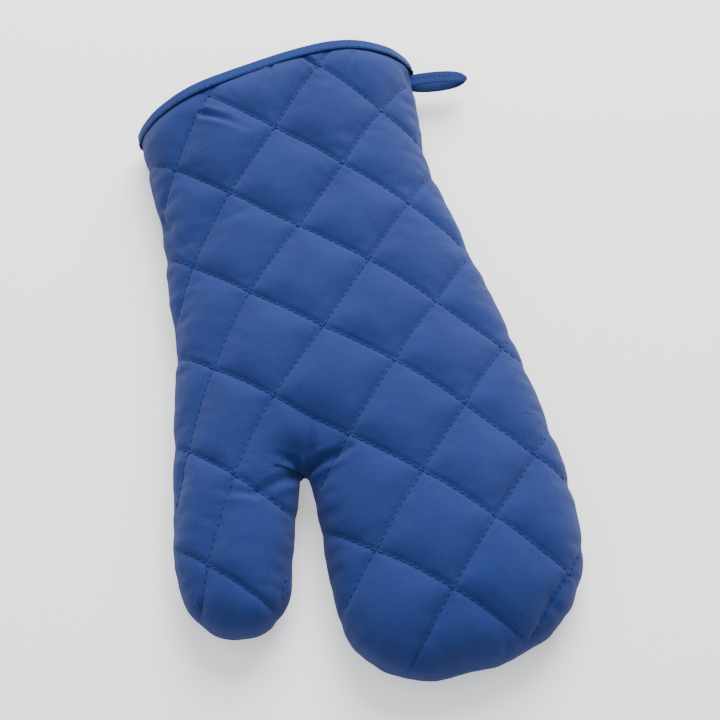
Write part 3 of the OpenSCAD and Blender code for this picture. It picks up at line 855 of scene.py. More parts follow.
class Sheet:
    """Grid of quads over the whole plan, divided into palm, thumb and fingers."""

    PALM_ROWS, THUMB_COLS, FINGER_COLS = 100, 32, 56
    THUMB_ROWS, FINGER_ROWS = 40, 55

    def __init__(self, outline: Outline, fineness: int) -> None:
        """Builds the three grids, which share the vertices of their common edge.

        Args:
            outline: Seam outline.
            fineness: Steps of this sheet for each step of the coarse sheet.
        """
        n = fineness
        rows, tc, fc = self.PALM_ROWS * n, self.THUMB_COLS * n, self.FINGER_COLS * n
        tr, fr = self.THUMB_ROWS * n, self.FINGER_ROWS * n
        thumb_share = shares(tc, 0.9, 0.9, 0.09)
        finger_share = shares(fc, 0.9, 0.9, 0.05)
        cuff_share = shares(tc + fc, 0.9, 0.9, 0.035)
        a, c, b = (float(s) for s in (outline.thumb_root_s, outline.crotch_s, outline.fingers_root_s))
        left, mid, right = outline.at(np.array([a, c, b]))
        thumb_top = left + (mid - left) * thumb_share[:, None]
        finger_top = mid + (right - mid) * finger_share[:, None]
        down = shares(rows, 0.4, 0.8, 0.05)
        palm = coons(
            outline.cuff(cuff_share),
            np.concatenate([thumb_top, finger_top[1:]]),
            outline.at(a * down),
            outline.at(outline.length + (b - outline.length) * down),
        )
        thumb = self._pocket(outline, a, c, thumb_top, thumb_share, shares(tr, 0.7, 0.9, 0.07), 0.41)
        fingers = self._pocket(outline, c, b, finger_top, finger_share, shares(fr, 0.7, 0.9, 0.06), 0.36)
        ids = np.arange(palm[..., 0].size).reshape(palm.shape[:2])
        thumb_ids = self._below(ids[-1, : tc + 1], tr, ids.max() + 1)
        finger_ids = self._below(ids[-1, tc:], fr, thumb_ids.max() + 1)
        self.grids = {Region.PALM: ids, Region.THUMB: thumb_ids, Region.FINGERS: finger_ids}
        self.xy = np.concatenate([palm.reshape(-1, 2), thumb[1:].reshape(-1, 2), fingers[1:].reshape(-1, 2)])
        self.quads = {region: self._quads(grid) for region, grid in self.grids.items()}
        self.near = outline.near(self.xy)
        self.below = outline.below_cuff(self.xy)

    @staticmethod
    def _pocket(
        outline: Outline,
        a: float,
        b: float,
        top: np.ndarray,
        cols: np.ndarray,
        rows: np.ndarray,
        share: float,
    ) -> np.ndarray:
        """Grid of a pocket whose seam runs from a to b, shared out as left side, tip and right side.

        Args:
            outline: Seam outline.
            a: Running length where the pocket starts.
            b: Running length where it ends.
            top: Points of its open side.
            cols: Shares along the tip.
            rows: Shares down the sides.
            share: Share of the seam that each side takes.

        Returns:
            Array of rows, columns and coordinates.
        """
        left_s, right_s = a + (b - a) * share, b - (b - a) * share
        return coons(
            top,
            outline.at(left_s + (right_s - left_s) * cols),
            outline.at(a + (left_s - a) * rows),
            outline.at(b + (right_s - b) * rows),
        )

    @staticmethod
    def _below(top: np.ndarray, rows: int, first: int) -> np.ndarray:
        """Vertex numbers of a grid that hangs from a row of existing vertices."""
        fresh = first + np.arange(rows * len(top)).reshape(rows, len(top))
        return np.concatenate([top[None], fresh])

    @staticmethod
    def _quads(ids: np.ndarray) -> np.ndarray:
        """Quads of a grid, facing up."""
        return np.stack([ids[:-1, :-1], ids[1:, :-1], ids[1:, 1:], ids[:-1, 1:]], axis=-1).reshape(-1, 4)

    @property
    def all_quads(self) -> np.ndarray:
        """Quads of the three regions together."""
        return np.concatenate(list(self.quads.values()))

    def refine(self, fine: "Sheet", values: np.ndarray) -> np.ndarray:
        """Carries values from this sheet to one with twice its steps.

        Values between two vertices are their mean, plus an eighth of what the mean
        exceeds the mean of the next two by.

        Args:
            fine: Sheet with twice the steps.
            values: One vector for each vertex of this sheet.

        Returns:
            One vector for each vertex of the fine sheet.
        """
        out = np.zeros((len(fine.xy), values.shape[1]))
        for region, ids in self.grids.items():
            tall = self._doubled(values[ids]).transpose(1, 0, 2)
            out[fine.grids[region]] = self._doubled(tall).transpose(1, 0, 2)
        return out

    @staticmethod
    def _doubled(rows: np.ndarray) -> np.ndarray:
        """Rows with a new row between each two.

        Args:
            rows: Values along the first axis.

        Returns:
            One less than twice as many rows.
        """
        wide = np.concatenate([rows[:1], rows, rows[-1:]])
        mean = (rows[:-1] + rows[1:]) / 2
        between = mean + (mean - (wide[:-3] + wide[3:]) / 2) / 8
        out = np.zeros((2 * len(rows) - 1, *rows.shape[1:]))
        out[0::2], out[1::2] = rows, between
        return out


# ---- Cloth simulation --------------------------------------------------------------


@dataclass
class ClothRun:
    """Cloth simulation of a padded cover, held along its quilting and its seam.

    Attributes:
        unit_size: Length of a millimetre in the simulation.
        frames: Frames to run.
        quality: Steps in each frame.
        pressure: Push of the wadding.
        shrink: Shrinking of the cloth. Below zero, it grows.
        mass: Mass of each vertex.
        stiffness: Stiffness against stretching and squeezing.
        shear: Stiffness against shearing.
        bending: Stiffness against bending.
        damping: Drag of the air.
        levels: Steps in which the hold is written.
        cap: Largest movement in millimetres.
    """

    unit_size: float = 0.02
    frames: int = 20
    quality: int = 6
    pressure: float = 4.0
    shrink: float = -0.012
    mass: float = 0.02
    stiffness: float = 25.0
    shear: float = 8.0
    bending: float = 0.6
    damping: float = 2.0
    levels: int = 10
    cap: float = 1.6

    def settle(self, points: np.ndarray, quads: np.ndarray, hold: np.ndarray) -> np.ndarray:
        """Lets the cloth settle and returns how far each vertex moved.

        Args:
            points: Rest shape in millimetres.
            quads: Faces.
            hold: Hold of each vertex, from 0 to 1.

        Returns:
            Movement in millimetres, limited to the cap.
        """
        mesh = bpy.data.meshes.new("cloth_run")
        mesh.from_pydata((points * self.unit_size).tolist(), [], quads.tolist())
        obj = bpy.data.objects.new("cloth_run", mesh)
        bpy.context.scene.collection.objects.link(obj)
        group = obj.vertex_groups.new(name="held")
        levels = np.round(hold * self.levels).astype(int)
        for level in range(1, self.levels + 1):
            group.add(np.nonzero(levels == level)[0].tolist(), level / self.levels, "REPLACE")
        cloth = obj.modifiers.new("cloth", "CLOTH")
        cloth.settings.quality = self.quality
        cloth.settings.mass = self.mass
        cloth.settings.tension_stiffness = self.stiffness
        cloth.settings.compression_stiffness = self.stiffness
        cloth.settings.shear_stiffness = self.shear
        cloth.settings.bending_stiffness = self.bending
        cloth.settings.air_damping = self.damping
        cloth.settings.vertex_group_mass = group.name
        cloth.settings.pin_stiffness = 1
        cloth.settings.shrink_min = self.shrink
        cloth.settings.use_pressure = True
        cloth.settings.uniform_pressure_force = self.pressure
        cloth.settings.effector_weights.gravity = 0
        cloth.collision_settings.use_collision = False
        scene = bpy.context.scene
        cloth.point_cache.frame_start, cloth.point_cache.frame_end = 1, self.frames
        for number in range(1, self.frames + 1):
            scene.frame_set(number)
        settled = obj.evaluated_get(bpy.context.evaluated_depsgraph_get()).data
        moved = np.empty(len(points) * 3, np.float32)
        settled.vertices.foreach_get("co", moved)
        scene.frame_set(1)
        bpy.data.objects.remove(obj)
        bpy.data.meshes.remove(mesh)
        shift = moved.reshape(-1, 3).astype(float) / self.unit_size - points
        size = np.linalg.norm(shift, axis=1, keepdims=True)
        LOG.info("cloth simulation: %d vertices, moved up to %.2f mm", len(points), size.max())
        return shift * np.minimum(1, self.cap / np.maximum(size, 1e-6))


# ---- Finishes ------------------------------------------------------------------------


class Value:
    """One number in a shader's maths, with the usual operators."""

    def __init__(self, tree: bpy.types.NodeTree, socket: bpy.types.NodeSocket) -> None:
        """Wraps an output socket.

        Args:
            tree: Node tree that the socket is in.
            socket: Output socket.
        """
        self.tree = tree
        self.socket = socket

    def _maths(self, operation: str, *terms: "Value | float", clamp: bool = False) -> "Value":
        """A Math node over these terms.

        Args:
            operation: Operation of the node.
            *terms: Values or numbers, in order.
            clamp: Holds the result between 0 and 1.

        Returns:
            The result.
        """
        node = self.tree.nodes.new("ShaderNodeMath")
        node.operation, node.use_clamp = operation, clamp
        for slot, term in zip(node.inputs, terms):
            if isinstance(term, Value):
                self.tree.links.new(term.socket, slot)
            else:
                slot.default_value = term
        return Value(self.tree, node.outputs[0])

    def __add__(self, other: "Value | float") -> "Value":
        """Sum."""
        return self._maths("ADD", self, other)

    __radd__ = __add__

    def __sub__(self, other: "Value | float") -> "Value":
        """Difference."""
        return self._maths("SUBTRACT", self, other)

    def __rsub__(self, other: float) -> "Value":
        """Difference, reflected."""
        return self._maths("SUBTRACT", other, self)

    def __mul__(self, other: "Value | float") -> "Value":
        """Product."""
        return self._maths("MULTIPLY", self, other)

    __rmul__ = __mul__

    def sine(self) -> "Value":
        """Sine of the value in radians."""
        return self._maths("SINE", self)

    def above(self, low: float, high: float) -> "Value":
        """Share of the way from low to high, held between 0 and 1."""
        return self._maths("MULTIPLY_ADD", self, 1 / (high - low), -low / (high - low), clamp=True)


class Shader:
    """Builder of one material."""

    def __init__(self, name: str) -> None:
        """Makes an empty material.

        Args:
            name: Its name.
        """
        self.material = bpy.data.materials.new(name)
        self.material.use_nodes = True
        self.tree = self.material.node_tree
        self.tree.nodes.clear()

    def node(self, kind: str, inputs: dict[str, object] | None = None, **settings: object) -> bpy.types.Node:
        """Adds a node with its settings and inputs.

        Args:
            kind: Node type.
            inputs: Input names with a number, a Value or a socket.
            **settings: Node properties.

        Returns:
            The node.
        """
        made = self.tree.nodes.new(kind)
        for key, value in settings.items():
            setattr(made, key, value)
        for key, value in (inputs or {}).items():
            if isinstance(value, Value):
                self.tree.links.new(value.socket, made.inputs[key])
            elif isinstance(value, bpy.types.NodeSocket):
                self.tree.links.new(value, made.inputs[key])
            else:
                made.inputs[key].default_value = value
        return made

    def value(self, socket: bpy.types.NodeSocket) -> Value:
        """Wraps a socket for maths."""
        return Value(self.tree, socket)

    def noise(self, where: bpy.types.NodeSocket, scale: float, detail: float = 2.0) -> Value:
        """Noise texture at a scale in steps per metre.

        Args:
            where: Coordinates.
            scale: Steps per metre.
            detail: Octaves.

        Returns:
            Its value.
        """
        made = self.node(
            "ShaderNodeTexNoise", {"Vector": where, "Scale": scale, "Detail": detail, "Roughness": 0.55}
        )
        return self.value(made.outputs["Fac"])


LINT_COLOUR = (0.62, 0.68, 0.78, 1.0)
CLOUDS, GRAINS, FLECKS = 38.0, 900.0, 1300.0  # steps of each noise per metre
GRAIN_BUMP, CLOUD_BUMP = 0.00012, 0.0006  # depths in metres


@dataclass(frozen=True)
class FabricFinish:
    """Look of a woven cloth or thread.

    Attributes:
        name: Material name.
        colour: Linear base colour.
        weave: Threads for each metre, or 0 for none.
        weave_bump: Depth of the weave in metres.
        blotch: Share by which the colour varies.
        lint: Share of pale specks.
        sheen: Weight of the soft bloom.
        roughness: Roughness.
    """

    name: str
    colour: tuple[float, float, float]
    weave: float = 1500.0
    weave_bump: float = 0.00006
    blotch: float = 0.15
    lint: float = 0.03
    sheen: float = 0.07
    roughness: float = 0.85

    def build(self) -> bpy.types.Material:
        """Makes the material.

        Returns:
            The material, which reads the piece's own flat-pattern coordinates.
        """
        s = Shader(self.name)
        where = s.node("ShaderNodeUVMap", uv_map="UVMap").outputs["UV"]
        parts = s.node("ShaderNodeSeparateXYZ", {"Vector": where})
        x, y = s.value(parts.outputs["X"]), s.value(parts.outputs["Y"])
        cloud = s.noise(where, CLOUDS, 3.0)
        grain = s.noise(where, GRAINS, 2.0)
        fleck = s.noise(where, FLECKS, 0.0).above(0.72, 0.80)
        turn = 2 * math.pi * self.weave
        weave = (x * turn).sine() * (y * turn).sine()
        tone = (cloud - 0.5) * (2 * self.blotch) + (grain - 0.5) * self.blotch + 1.0
        colour = s.node("ShaderNodeVectorMath", {0: self.colour, "Scale": tone}, operation="SCALE")
        mix = s.node(
            "ShaderNodeMix",
            {"Factor": fleck * self.lint, "A": colour.outputs["Vector"], "B": LINT_COLOUR},
            data_type="RGBA",
        )
        relief = weave * self.weave_bump + (grain - 0.5) * GRAIN_BUMP + (cloud - 0.5) * CLOUD_BUMP
        bump = s.node("ShaderNodeBump", {"Height": relief, "Distance": 1.0, "Strength": 1.0})
        colour_out = [o for o in mix.outputs if o.type == "RGBA"][0]
        shader = s.node(
            "ShaderNodeBsdfPrincipled",
            {
                "Base Color": colour_out,
                "Roughness": self.roughness,
                "Specular IOR Level": 0.25,
                "Sheen Weight": self.sheen,
                "Sheen Roughness": 0.5,
                "Normal": bump.outputs["Normal"],
            },
        )
        s.node("ShaderNodeOutputMaterial", {"Surface": shader.outputs["BSDF"]})
        return s.material


FINISHES = {
    "cover": FabricFinish("cover_cotton", (0.0112, 0.029, 0.156)),
    "lining": FabricFinish("lining_cotton", (0.009, 0.029, 0.155)),
    "binding": FabricFinish("binding_cotton", (0.011, 0.034, 0.175), blotch=0.08),
    "loop_tape": FabricFinish("loop_cotton", (0.008, 0.027, 0.145), blotch=0.08),
    "quilting_thread": FabricFinish(
        "quilting_thread", (0.0025, 0.022, 0.135), weave=0.0, lint=0.0, roughness=0.6
    ),
    "seam_thread": FabricFinish("seam_thread", (0.008, 0.028, 0.14), weave=0.0, lint=0.0, roughness=0.6),
    "overlock_thread": FabricFinish("overlock_thread", (0.018, 0.05, 0.2), weave=700.0, weave_bump=0.0003),
    "wadding": FabricFinish("wadding_fibre", (0.8, 0.79, 0.75), weave=0.0, sheen=0.4, roughness=0.95),
}


# ---- Making pieces -----------------------------------------------------------------------


@dataclass
class Builder:
    """Makes mesh objects in the row frame and ties palm pieces to the CAD palm body.

    Attributes:
        origin: Place of the crotch in the row frame, in metres.
        outline: Seam outline.
        materials: Finish of each slot.
    """

    origin: np.ndarray
    outline: Outline
    materials: dict[str, bpy.types.Material] = field(default_factory=dict)

    def __post_init__(self) -> None:
        """Builds every finish once."""
        self.materials = {slot: finish.build() for slot, finish in FINISHES.items()}

    def mesh(
        self,
        name: str,
        points: np.ndarray,
        quads: np.ndarray,
        slot: str,
        uv: np.ndarray,
        normals: np.ndarray | None = None,
    ) -> bpy.types.Object:
        """Makes one piece.

        Args:
            name: Piece name.
            points: Vertices in millimetres from the crotch.
            quads: Faces, outward.
            slot: Material slot of the record.
            uv: Flat-pattern place of each vertex in millimetres.
            normals: Shading normal of each vertex, if not the mesh's own.

        Returns:
            The object.
        """
        mesh = bpy.data.meshes.new(name)
        mesh.vertices.add(len(points))
        mesh.vertices.foreach_set("co", (points * MM + self.origin).astype(np.float32).ravel())
        mesh.loops.add(quads.size)
        mesh.loops.foreach_set("vertex_index", quads.astype(np.int32).ravel())
        mesh.polygons.add(len(quads))
        mesh.polygons.foreach_set("loop_start", np.arange(0, quads.size, 4, dtype=np.int32))
        mesh.polygons.foreach_set("use_smooth", np.ones(len(quads), bool))
        mesh.update(calc_edges=True)
        layer = mesh.uv_layers.new(name="UVMap")
        layer.data.foreach_set("uv", (uv[quads.ravel()] * MM).astype(np.float32).ravel())
        if normals is not None:
            mesh.normals_split_custom_set_from_vertices(normals.tolist())
        mesh.materials.append(self.materials[slot])
        obj = bpy.data.objects.new(name, mesh)
        bpy.context.scene.collection.objects.link(obj)
        LOG.info("%s: %d vertices, %d quads", name, len(points), len(quads))
        return obj

    def tie(self, obj: bpy.types.Object, region: Region) -> bpy.types.Object:
        """Lets a piece ride the palm; a piece of the thumb or the fingers only has its place baked into its
        mesh.

        Args:
            obj: Piece.
            region: Part of the mitt that it is in.

        Returns:
            The piece.
        """
        if region is Region.PALM:
            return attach(obj, "palm")
        out = self.outline
        way, length = out.finger_dir, SIZES.finger_blend
        if region is Region.THUMB:
            way, length = out.thumb_dir, SIZES.thumb_blend
        ends = [
            self.origin + np.array([*(out.crotch + way * reach), SIZES.seam_z]) * MM
            for reach in (0.0, length)
        ]
        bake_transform(obj)
        return obj


FLAT_REACH = 60.0
FLAT_POINTS = 1201


def flat_pattern(shape: PanelShape, near: Nearness) -> np.ndarray:
    """Flat-pattern place of each point: the plan with the round edge laid out flat.

    A point moves outwards by what the edge's curve is longer than its plan.

    Args:
        shape: Panel shape.
        near: Places with their seam distances.

    Returns:
        Places in millimetres.
    """
    d = np.linspace(0, FLAT_REACH, FLAT_POINTS)
    curve = shape.rise(d) + SIZES.dome_h * ease(d / SIZES.dome_reach)
    length = np.concatenate([[0.0], np.cumsum(np.hypot(np.diff(d), np.diff(curve)))])
    extra = np.interp(near.d, d, (length[-1] - length) - (d[-1] - d))
    return near.xy - near.inward * extra[:, None]


def closed_shell(
    outer: np.ndarray, inner: np.ndarray, quads: np.ndarray, uv: np.ndarray, normals: np.ndarray
) -> tuple[np.ndarray, np.ndarray, np.ndarray, np.ndarray]:
    """Closes two faces of a layer into a solid with a rim.

    Args:
        outer: Outer vertices.
        inner: Inner vertices, in the same order.
        quads: Faces of the outer side, outward.
        uv: Flat-pattern places.
        normals: Outward normals of the outer side.

    Returns:
        Vertices, faces, flat-pattern places and normals of the solid.
    """
    used, flat = np.unique(quads, return_inverse=True)
    faces = flat.reshape(quads.shape)
    n = len(used)
    rim = rim_edges(faces)
    walls = np.stack([rim[:, 1], rim[:, 0], rim[:, 0] + n, rim[:, 1] + n], axis=1)
    points = np.concatenate([outer[used], inner[used]])
    faces = np.concatenate([faces, faces[:, ::-1] + n, walls])
    return points, faces, np.concatenate([uv[used]] * 2), np.concatenate([normals[used], -normals[used]])


class Panel:
    """One quilted panel: cover, wadding and lining, each in three regions.

    The wadding lies ROW_DROP lower under a row, within ROW_WIDTH of it. The insets of
    wadding and lining fade out over INSET_FADE from the seam. The grip is 1 where the
    binding holds the layers together and 0 past the hem.
    """

    ROW_DROP, ROW_WIDTH = 0.9, 2.0
    INSET_FADE = 22.0
    LIP_GAP = 0.3

    def __init__(self, side: Side, shape: PanelShape, builder: Builder, coarse: Sheet, fine: Sheet) -> None:
        """Keeps what the layers are made from.

        Args:
            side: Front or back.
            shape: Surface of the panels.
            builder: Maker of pieces.
            coarse: Sheet for wadding and lining.
            fine: Sheet for the cover.
        """
        self.side, self.shape, self.builder = side, shape, builder
        self.coarse, self.fine = coarse, fine
        hem = CLOTH.hem
        self.grip = 1 - smooth((coarse.below - hem[0]) / (hem[1] - hem[0]))

    def _turn(self, quads: np.ndarray) -> np.ndarray:
        """Quads that face away from the mitt."""
        return quads if self.side is Side.FRONT else quads[:, ::-1]

    def build(self, settled: np.ndarray) -> None:
        """Makes every layer.

        Args:
            settled: Movement of the coarse sheet's vertices in the cloth simulation.
        """
        move = settled * (1.0 if self.side is Side.FRONT else np.array([0.5, 0.5, -0.4]))
        coarse = self.shape.surface(self.side, self.coarse.near) + move
        fine = self.shape.surface(self.side, self.fine.near) + self.coarse.refine(self.fine, move)
        if self.side is Side.BACK:
            for face in (coarse, fine):
                face[:, 2] = np.maximum(face[:, 2], PanelShape.FLOOR)
        self._layer("cover", self.fine, fine, self._inside(self.fine, fine, CLOTH.cover_t))
        outer = self._inside(self.coarse, coarse, CLOTH.cover_t + CLOTH.gap)
        outer[:, 2] -= self.side.value * self.ROW_DROP * self._near_row()
        face, back = self._lining(coarse)
        self._layer("wadding", self.coarse, self._inset(outer, CLOTH.wadding_inset), self._clear(face, outer))
        self._layer("lining", self.coarse, face, back)

    def _near_row(self) -> np.ndarray:
        """How close each vertex of the coarse sheet is to a row: 1 on it, fading as a bell."""
        rows = [self.shape.quilting.offset(row, self.coarse.near.xy)[0] for row in Row]
        return np.exp(-((np.min(np.abs(rows), axis=0) / self.ROW_WIDTH) ** 2))

    def _inside(self, sheet: Sheet, face: np.ndarray, depth: float) -> np.ndarray:
        """Points a depth below a face, along its normals.

        Args:
            sheet: Sheet that the face follows.
            face: Vertices.
            depth: Depth in millimetres.

        Returns:
            The points.
        """
        normals = vertex_normals(face, self._turn(sheet.all_quads))
        return face - normals * depth

    def _inset(self, points: np.ndarray, by: float) -> np.ndarray:
        """Points moved in from the seam, fading out inside the mitt and under the binding.

        Args:
            points: Points of a face.
            by: Move at the seam in millimetres.

        Returns:
            The moved points.
        """
        near = self.coarse.near
        move = by * ramp(1 - near.d / self.INSET_FADE) * (1 - 0.8 * self.grip)
        out = points.copy()
        out[:, :2] += near.inward * move[:, None]
        lip = SIZES.seam_z + self.side.value * (CLOTH.lip + self.LIP_GAP)
        out[:, 2] = np.maximum(out[:, 2], lip) if self.side is Side.FRONT else np.minimum(out[:, 2], lip)
        return out

    def _clear(self, face: np.ndarray, outer: np.ndarray) -> np.ndarray:
        """Wadding's inner face: just outside the lining, and below its own outer face.

        Args:
            face: Lining's outer face.
            outer: Wadding's outer face before it is moved in.

        Returns:
            Points in millimetres.
        """
        s = self.side.value
        z = face[:, 2] + s * 0.15
        top = np.maximum(outer[:, 2] * s, SIZES.seam_z * s + CLOTH.lip + self.LIP_GAP) - 0.25
        out = face.copy()
        out[:, :2] = self._inset(outer, CLOTH.wadding_inset)[:, :2]
        out[:, 2] = s * np.minimum(z * s, top)
        return out

    def _lining(self, cover: np.ndarray) -> tuple[np.ndarray, np.ndarray]:
        """Both faces of the lining, outer one first.

        The panel's thickness grows from the quilting rows to the middle of each diamond,
        and is pressed to the binding's grip at the cuff, where the lining follows the
        cover's own slope.

        Args:
            cover: Outer face of the cover on the coarse sheet.

        Returns:
            Outer and inner vertices in millimetres.
        """
        near, below, s = self.coarse.near, self.coarse.below, self.side.value
        pillow = np.ones(len(near.d))
        for row in Row:
            q = np.abs(self.shape.quilting.offset(row, near.xy)[0])
            pillow *= 1 - (1 - ramp(q / (QUILT.pitch / 2))) ** QUILT.roundness
        full = CLOTH.row_t + (CLOTH.panel_t - CLOTH.row_t) * pillow
        depth = CLOTH.mouth_t + (full - CLOTH.mouth_t) * smooth((below - 4) / 14)
        z = cover[:, 2] - s * depth
        stop = SIZES.seam_z + s * CLOTH.lip
        move = CLOTH.lining_inset * ramp(1 - near.d / self.INSET_FADE)
        xy = near.xy + near.inward * move[:, None]
        held = self._inside(self.coarse, cover, CLOTH.mouth_t)
        grip = self.grip[:, None]
        face = np.concatenate([xy, z[:, None]], axis=1) * (1 - grip) + held * grip
        face[:, 2] = stop + s * np.logaddexp(0.0, 2.0 * s * (face[:, 2] - stop)) / 2.0
        back = face - np.array([0, 0, s * CLOTH.lining_t])
        return face, back

    def _layer(self, layer: str, sheet: Sheet, outer: np.ndarray, inner: np.ndarray) -> None:
        """Args:
            layer: Cover, wadding or lining.
            sheet: Sheet that the faces follow.
            outer: Outer vertices.
            inner: Inner vertices.
        """
        normals = vertex_normals(outer, self._turn(sheet.all_quads))
        uv = flat_pattern(self.shape, sheet.near)
        for region in Region:
            quads = self._turn(sheet.quads[region])
            name = f"{self.side.word}_{layer}_{region.word}"
            points, faces, flat, facing = closed_shell(outer, inner, quads, uv, normals)
            obj = self.builder.mesh(f"{name}_cloth", points, faces, layer, flat, facing)
            self.builder.tie(obj, region)
            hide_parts(name)
            self._declare(obj, layer, outer, uv, quads)

    @staticmethod
    def _declare(
        obj: bpy.types.Object, layer: str, face: np.ndarray, uv: np.ndarray, quads: np.ndarray
    ) -> None:
        """Logs a cloth piece's flat size and its own area; the wadding is left out.

        Args:
            obj: Piece.
            layer: Cover, wadding or lining.
            face: Outer vertices in millimetres.
            uv: Flat-pattern places in millimetres.
            quads: Faces of the outer side.
        """
        if layer == "wadding":
            return
        a, b, c, d = (face[quads[:, k]] for k in range(4))
        area = np.linalg.norm(np.cross(c - a, d - b), axis=1).sum() / 2 * MM * MM
        size = (uv[quads.ravel()].max(0) - uv[quads.ravel()].min(0)) * MM
        area = min(area, size[0] * size[1])
        LOG.info("%s: flat %.0f x %.0f mm, %.4f m2", obj.name, size[0] * 1000, size[1] * 1000, area)


# ---- Threads --------------------------------------------------------------------------------


class Stitches:
    """Short curved capsules of thread along lines on a surface."""

    SIDES = 6

    def __init__(self, builder: Builder) -> None:
        """Keeps the maker of pieces."""
        self.builder = builder

    def capsules(self, centres: np.ndarray, ups: np.ndarray, radius: float) -> tuple[np.ndarray, np.ndarray]:
        """Closed tubes along centre lines.

        The radius swells from a small end to its full size: radius * sqrt(1 - u ** 4),
        with u from -1 to 1 along the stitch, and never under a fifth.

        Args:
            centres: Stitches, points along each, coordinates.
            ups: A vector off the cloth for each point.
            radius: Radius of the thread.

        Returns:
            Vertices and faces.
        """
        count, rings = centres.shape[:2]
        along = unit(np.gradient(centres, axis=1))
        side = unit(np.cross(along, ups))
        up = np.cross(side, along)
        u = np.linspace(-1, 1, rings)
        size = radius * np.maximum(np.sqrt(1 - u**4), 0.25)[None, :, None, None]
        angle = np.linspace(0, 2 * np.pi, self.SIDES, endpoint=False)[None, None, :, None]
        ring = np.cos(angle) * side[:, :, None] + np.sin(angle) * up[:, :, None]
        points = centres[:, :, None] + size * ring
        return points.reshape(-1, 3), self.tube_faces(count, rings, self.SIDES)

    @staticmethod
    def tube_faces(count: int, rings: int, sides: int) -> np.ndarray:
        """Faces of closed tubes, their ends filled with quads.

        Args:
            count: Number of tubes.
            rings: Rings of each.
            sides: Vertices of each ring.

        Returns:
            Vertex numbers of the quads.
        """
        i, k = np.meshgrid(np.arange(rings - 1), np.arange(sides), indexing="ij")
        a = i * sides + k
        b = i * sides + (k + 1) % sides
        wall = np.stack([a, a + sides, b + sides, b], axis=-1).reshape(-1, 4)
        j = np.arange(sides // 2 - 1)
        cap = np.stack([j, j + 1, sides - 2 - j, sides - 1 - j], axis=-1)
        one = np.concatenate([wall, cap, cap[:, ::-1] + (rings - 1) * sides])[:, ::-1]
        return (one[None] + np.arange(count)[:, None, None] * rings * sides).reshape(-1, 4)

    def piece(
        self, name: str, centres: np.ndarray, ups: np.ndarray, radius: float, slot: str
    ) -> bpy.types.Object:
        """Makes one piece of many stitches.

        Args:
            name: Piece name.
            centres: Points along each stitch.
            ups: A vector off the cloth for each point.
            radius: Radius of the thread.
            slot: Material slot of the record.

        Returns:
            The object.
        """
        points, faces = self.capsules(centres, ups, radius)
        return self.builder.mesh(name, points, faces, slot, points[:, :2])


class QuiltThreads(Stitches):
    """Quilting stitches on both panels.

    A stitch stands off the cloth by its radius times CROWN in the middle, and goes down by
    its radius times DIVE at both ends.
    """

    RINGS = 7
    CROWN = 0.75
    DIVE = 1.2
    ROWS = 7
    STITCHES = 85
    BINDING_L = 5.6

    def __init__(self, builder: Builder, shape: PanelShape) -> None:
        """Keeps the maker of pieces and the surface to sew on."""
        super().__init__(builder)
        self.shape = shape

    def build(self) -> None:
        """Makes the pieces of each side, direction and region."""
        quilting, sizes = self.shape.quilting, self.shape.quilting.sizes
        outline = self.shape.outline
        for row in Row:
            number, spot = np.meshgrid(
                np.arange(-self.ROWS, self.ROWS + 1.0),
                np.arange(-self.STITCHES, self.STITCHES + 1.0),
                indexing="ij",
            )
            k, s = number.ravel(), spot.ravel() * sizes.stitch_pitch
            u = np.linspace(-0.5, 0.5, self.RINGS)
            lengths = s[:, None] + u[None] * sizes.stitch_l
            plan = quilting.row_points(row, np.repeat(k[:, None], self.RINGS, 1), lengths)
            whole = np.ones(len(k), bool)
            for end in (plan[:, 0], plan[:, -1]):
                near = outline.near(end)
                whole &= outline.inside(end) & (near.d > sizes.clear)
                whole &= outline.below_cuff(end) > self.BINDING_L
            plan = plan[whole]
            for side in Side:
                self._sew(side, row, plan, u)

    def _sew(self, side: Side, row: Row, plan: np.ndarray, u: np.ndarray) -> None:
        """Makes the pieces of one side and direction.

        Args:
            side: Panel.
            row: Direction of the rows.
            plan: Places along every stitch.
            u: Shares along a stitch, from -0.5 to 0.5.
        """
        sizes = self.shape.quilting.sizes
        near = self.shape.outline.near(plan.reshape(-1, 2))
        cloth = self.shape.surface(side, near)
        above = self.shape.surface(side, near, lift=1.0)
        ups = unit(above - cloth).reshape(*plan.shape[:2], 3)
        arch = sizes.thread_r * (self.CROWN - self.DIVE * (2 * u) ** 4)
        centres = cloth.reshape(ups.shape) + ups * arch[None, :, None]
        if side is Side.BACK:
            centres[..., 2] = np.maximum(centres[..., 2], sizes.thread_r + 0.05)
        middle = plan[:, self.RINGS // 2]
        where = self.region_of(middle)
        for region in Region:
            mine = where == region.value
            if not mine.any():
                continue
            node = f"{side.word}_{row.name.lower()}_rows_{region.word}"
            obj = self.piece(f"{node}_thread", centres[mine], ups[mine], sizes.thread_r, "quilting_thread")
            self.builder.tie(obj, region)
            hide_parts(node)

    def region_of(self, xy: np.ndarray) -> np.ndarray:
        """Number of the region that each place belongs to.

        Args:
            xy: Places in the plan.

        Returns:
            Region values.
        """
        out = self.shape.outline
        rel = xy - out.crotch
        left = xy[:, 0] < out.crotch[0]
        thumb = left & (rel @ out.thumb_dir > 0)
        fingers = ~left & (rel @ out.finger_dir > 0)
        return np.where(thumb, Region.THUMB.value, np.where(fingers, Region.FINGERS.value, Region.PALM.value))


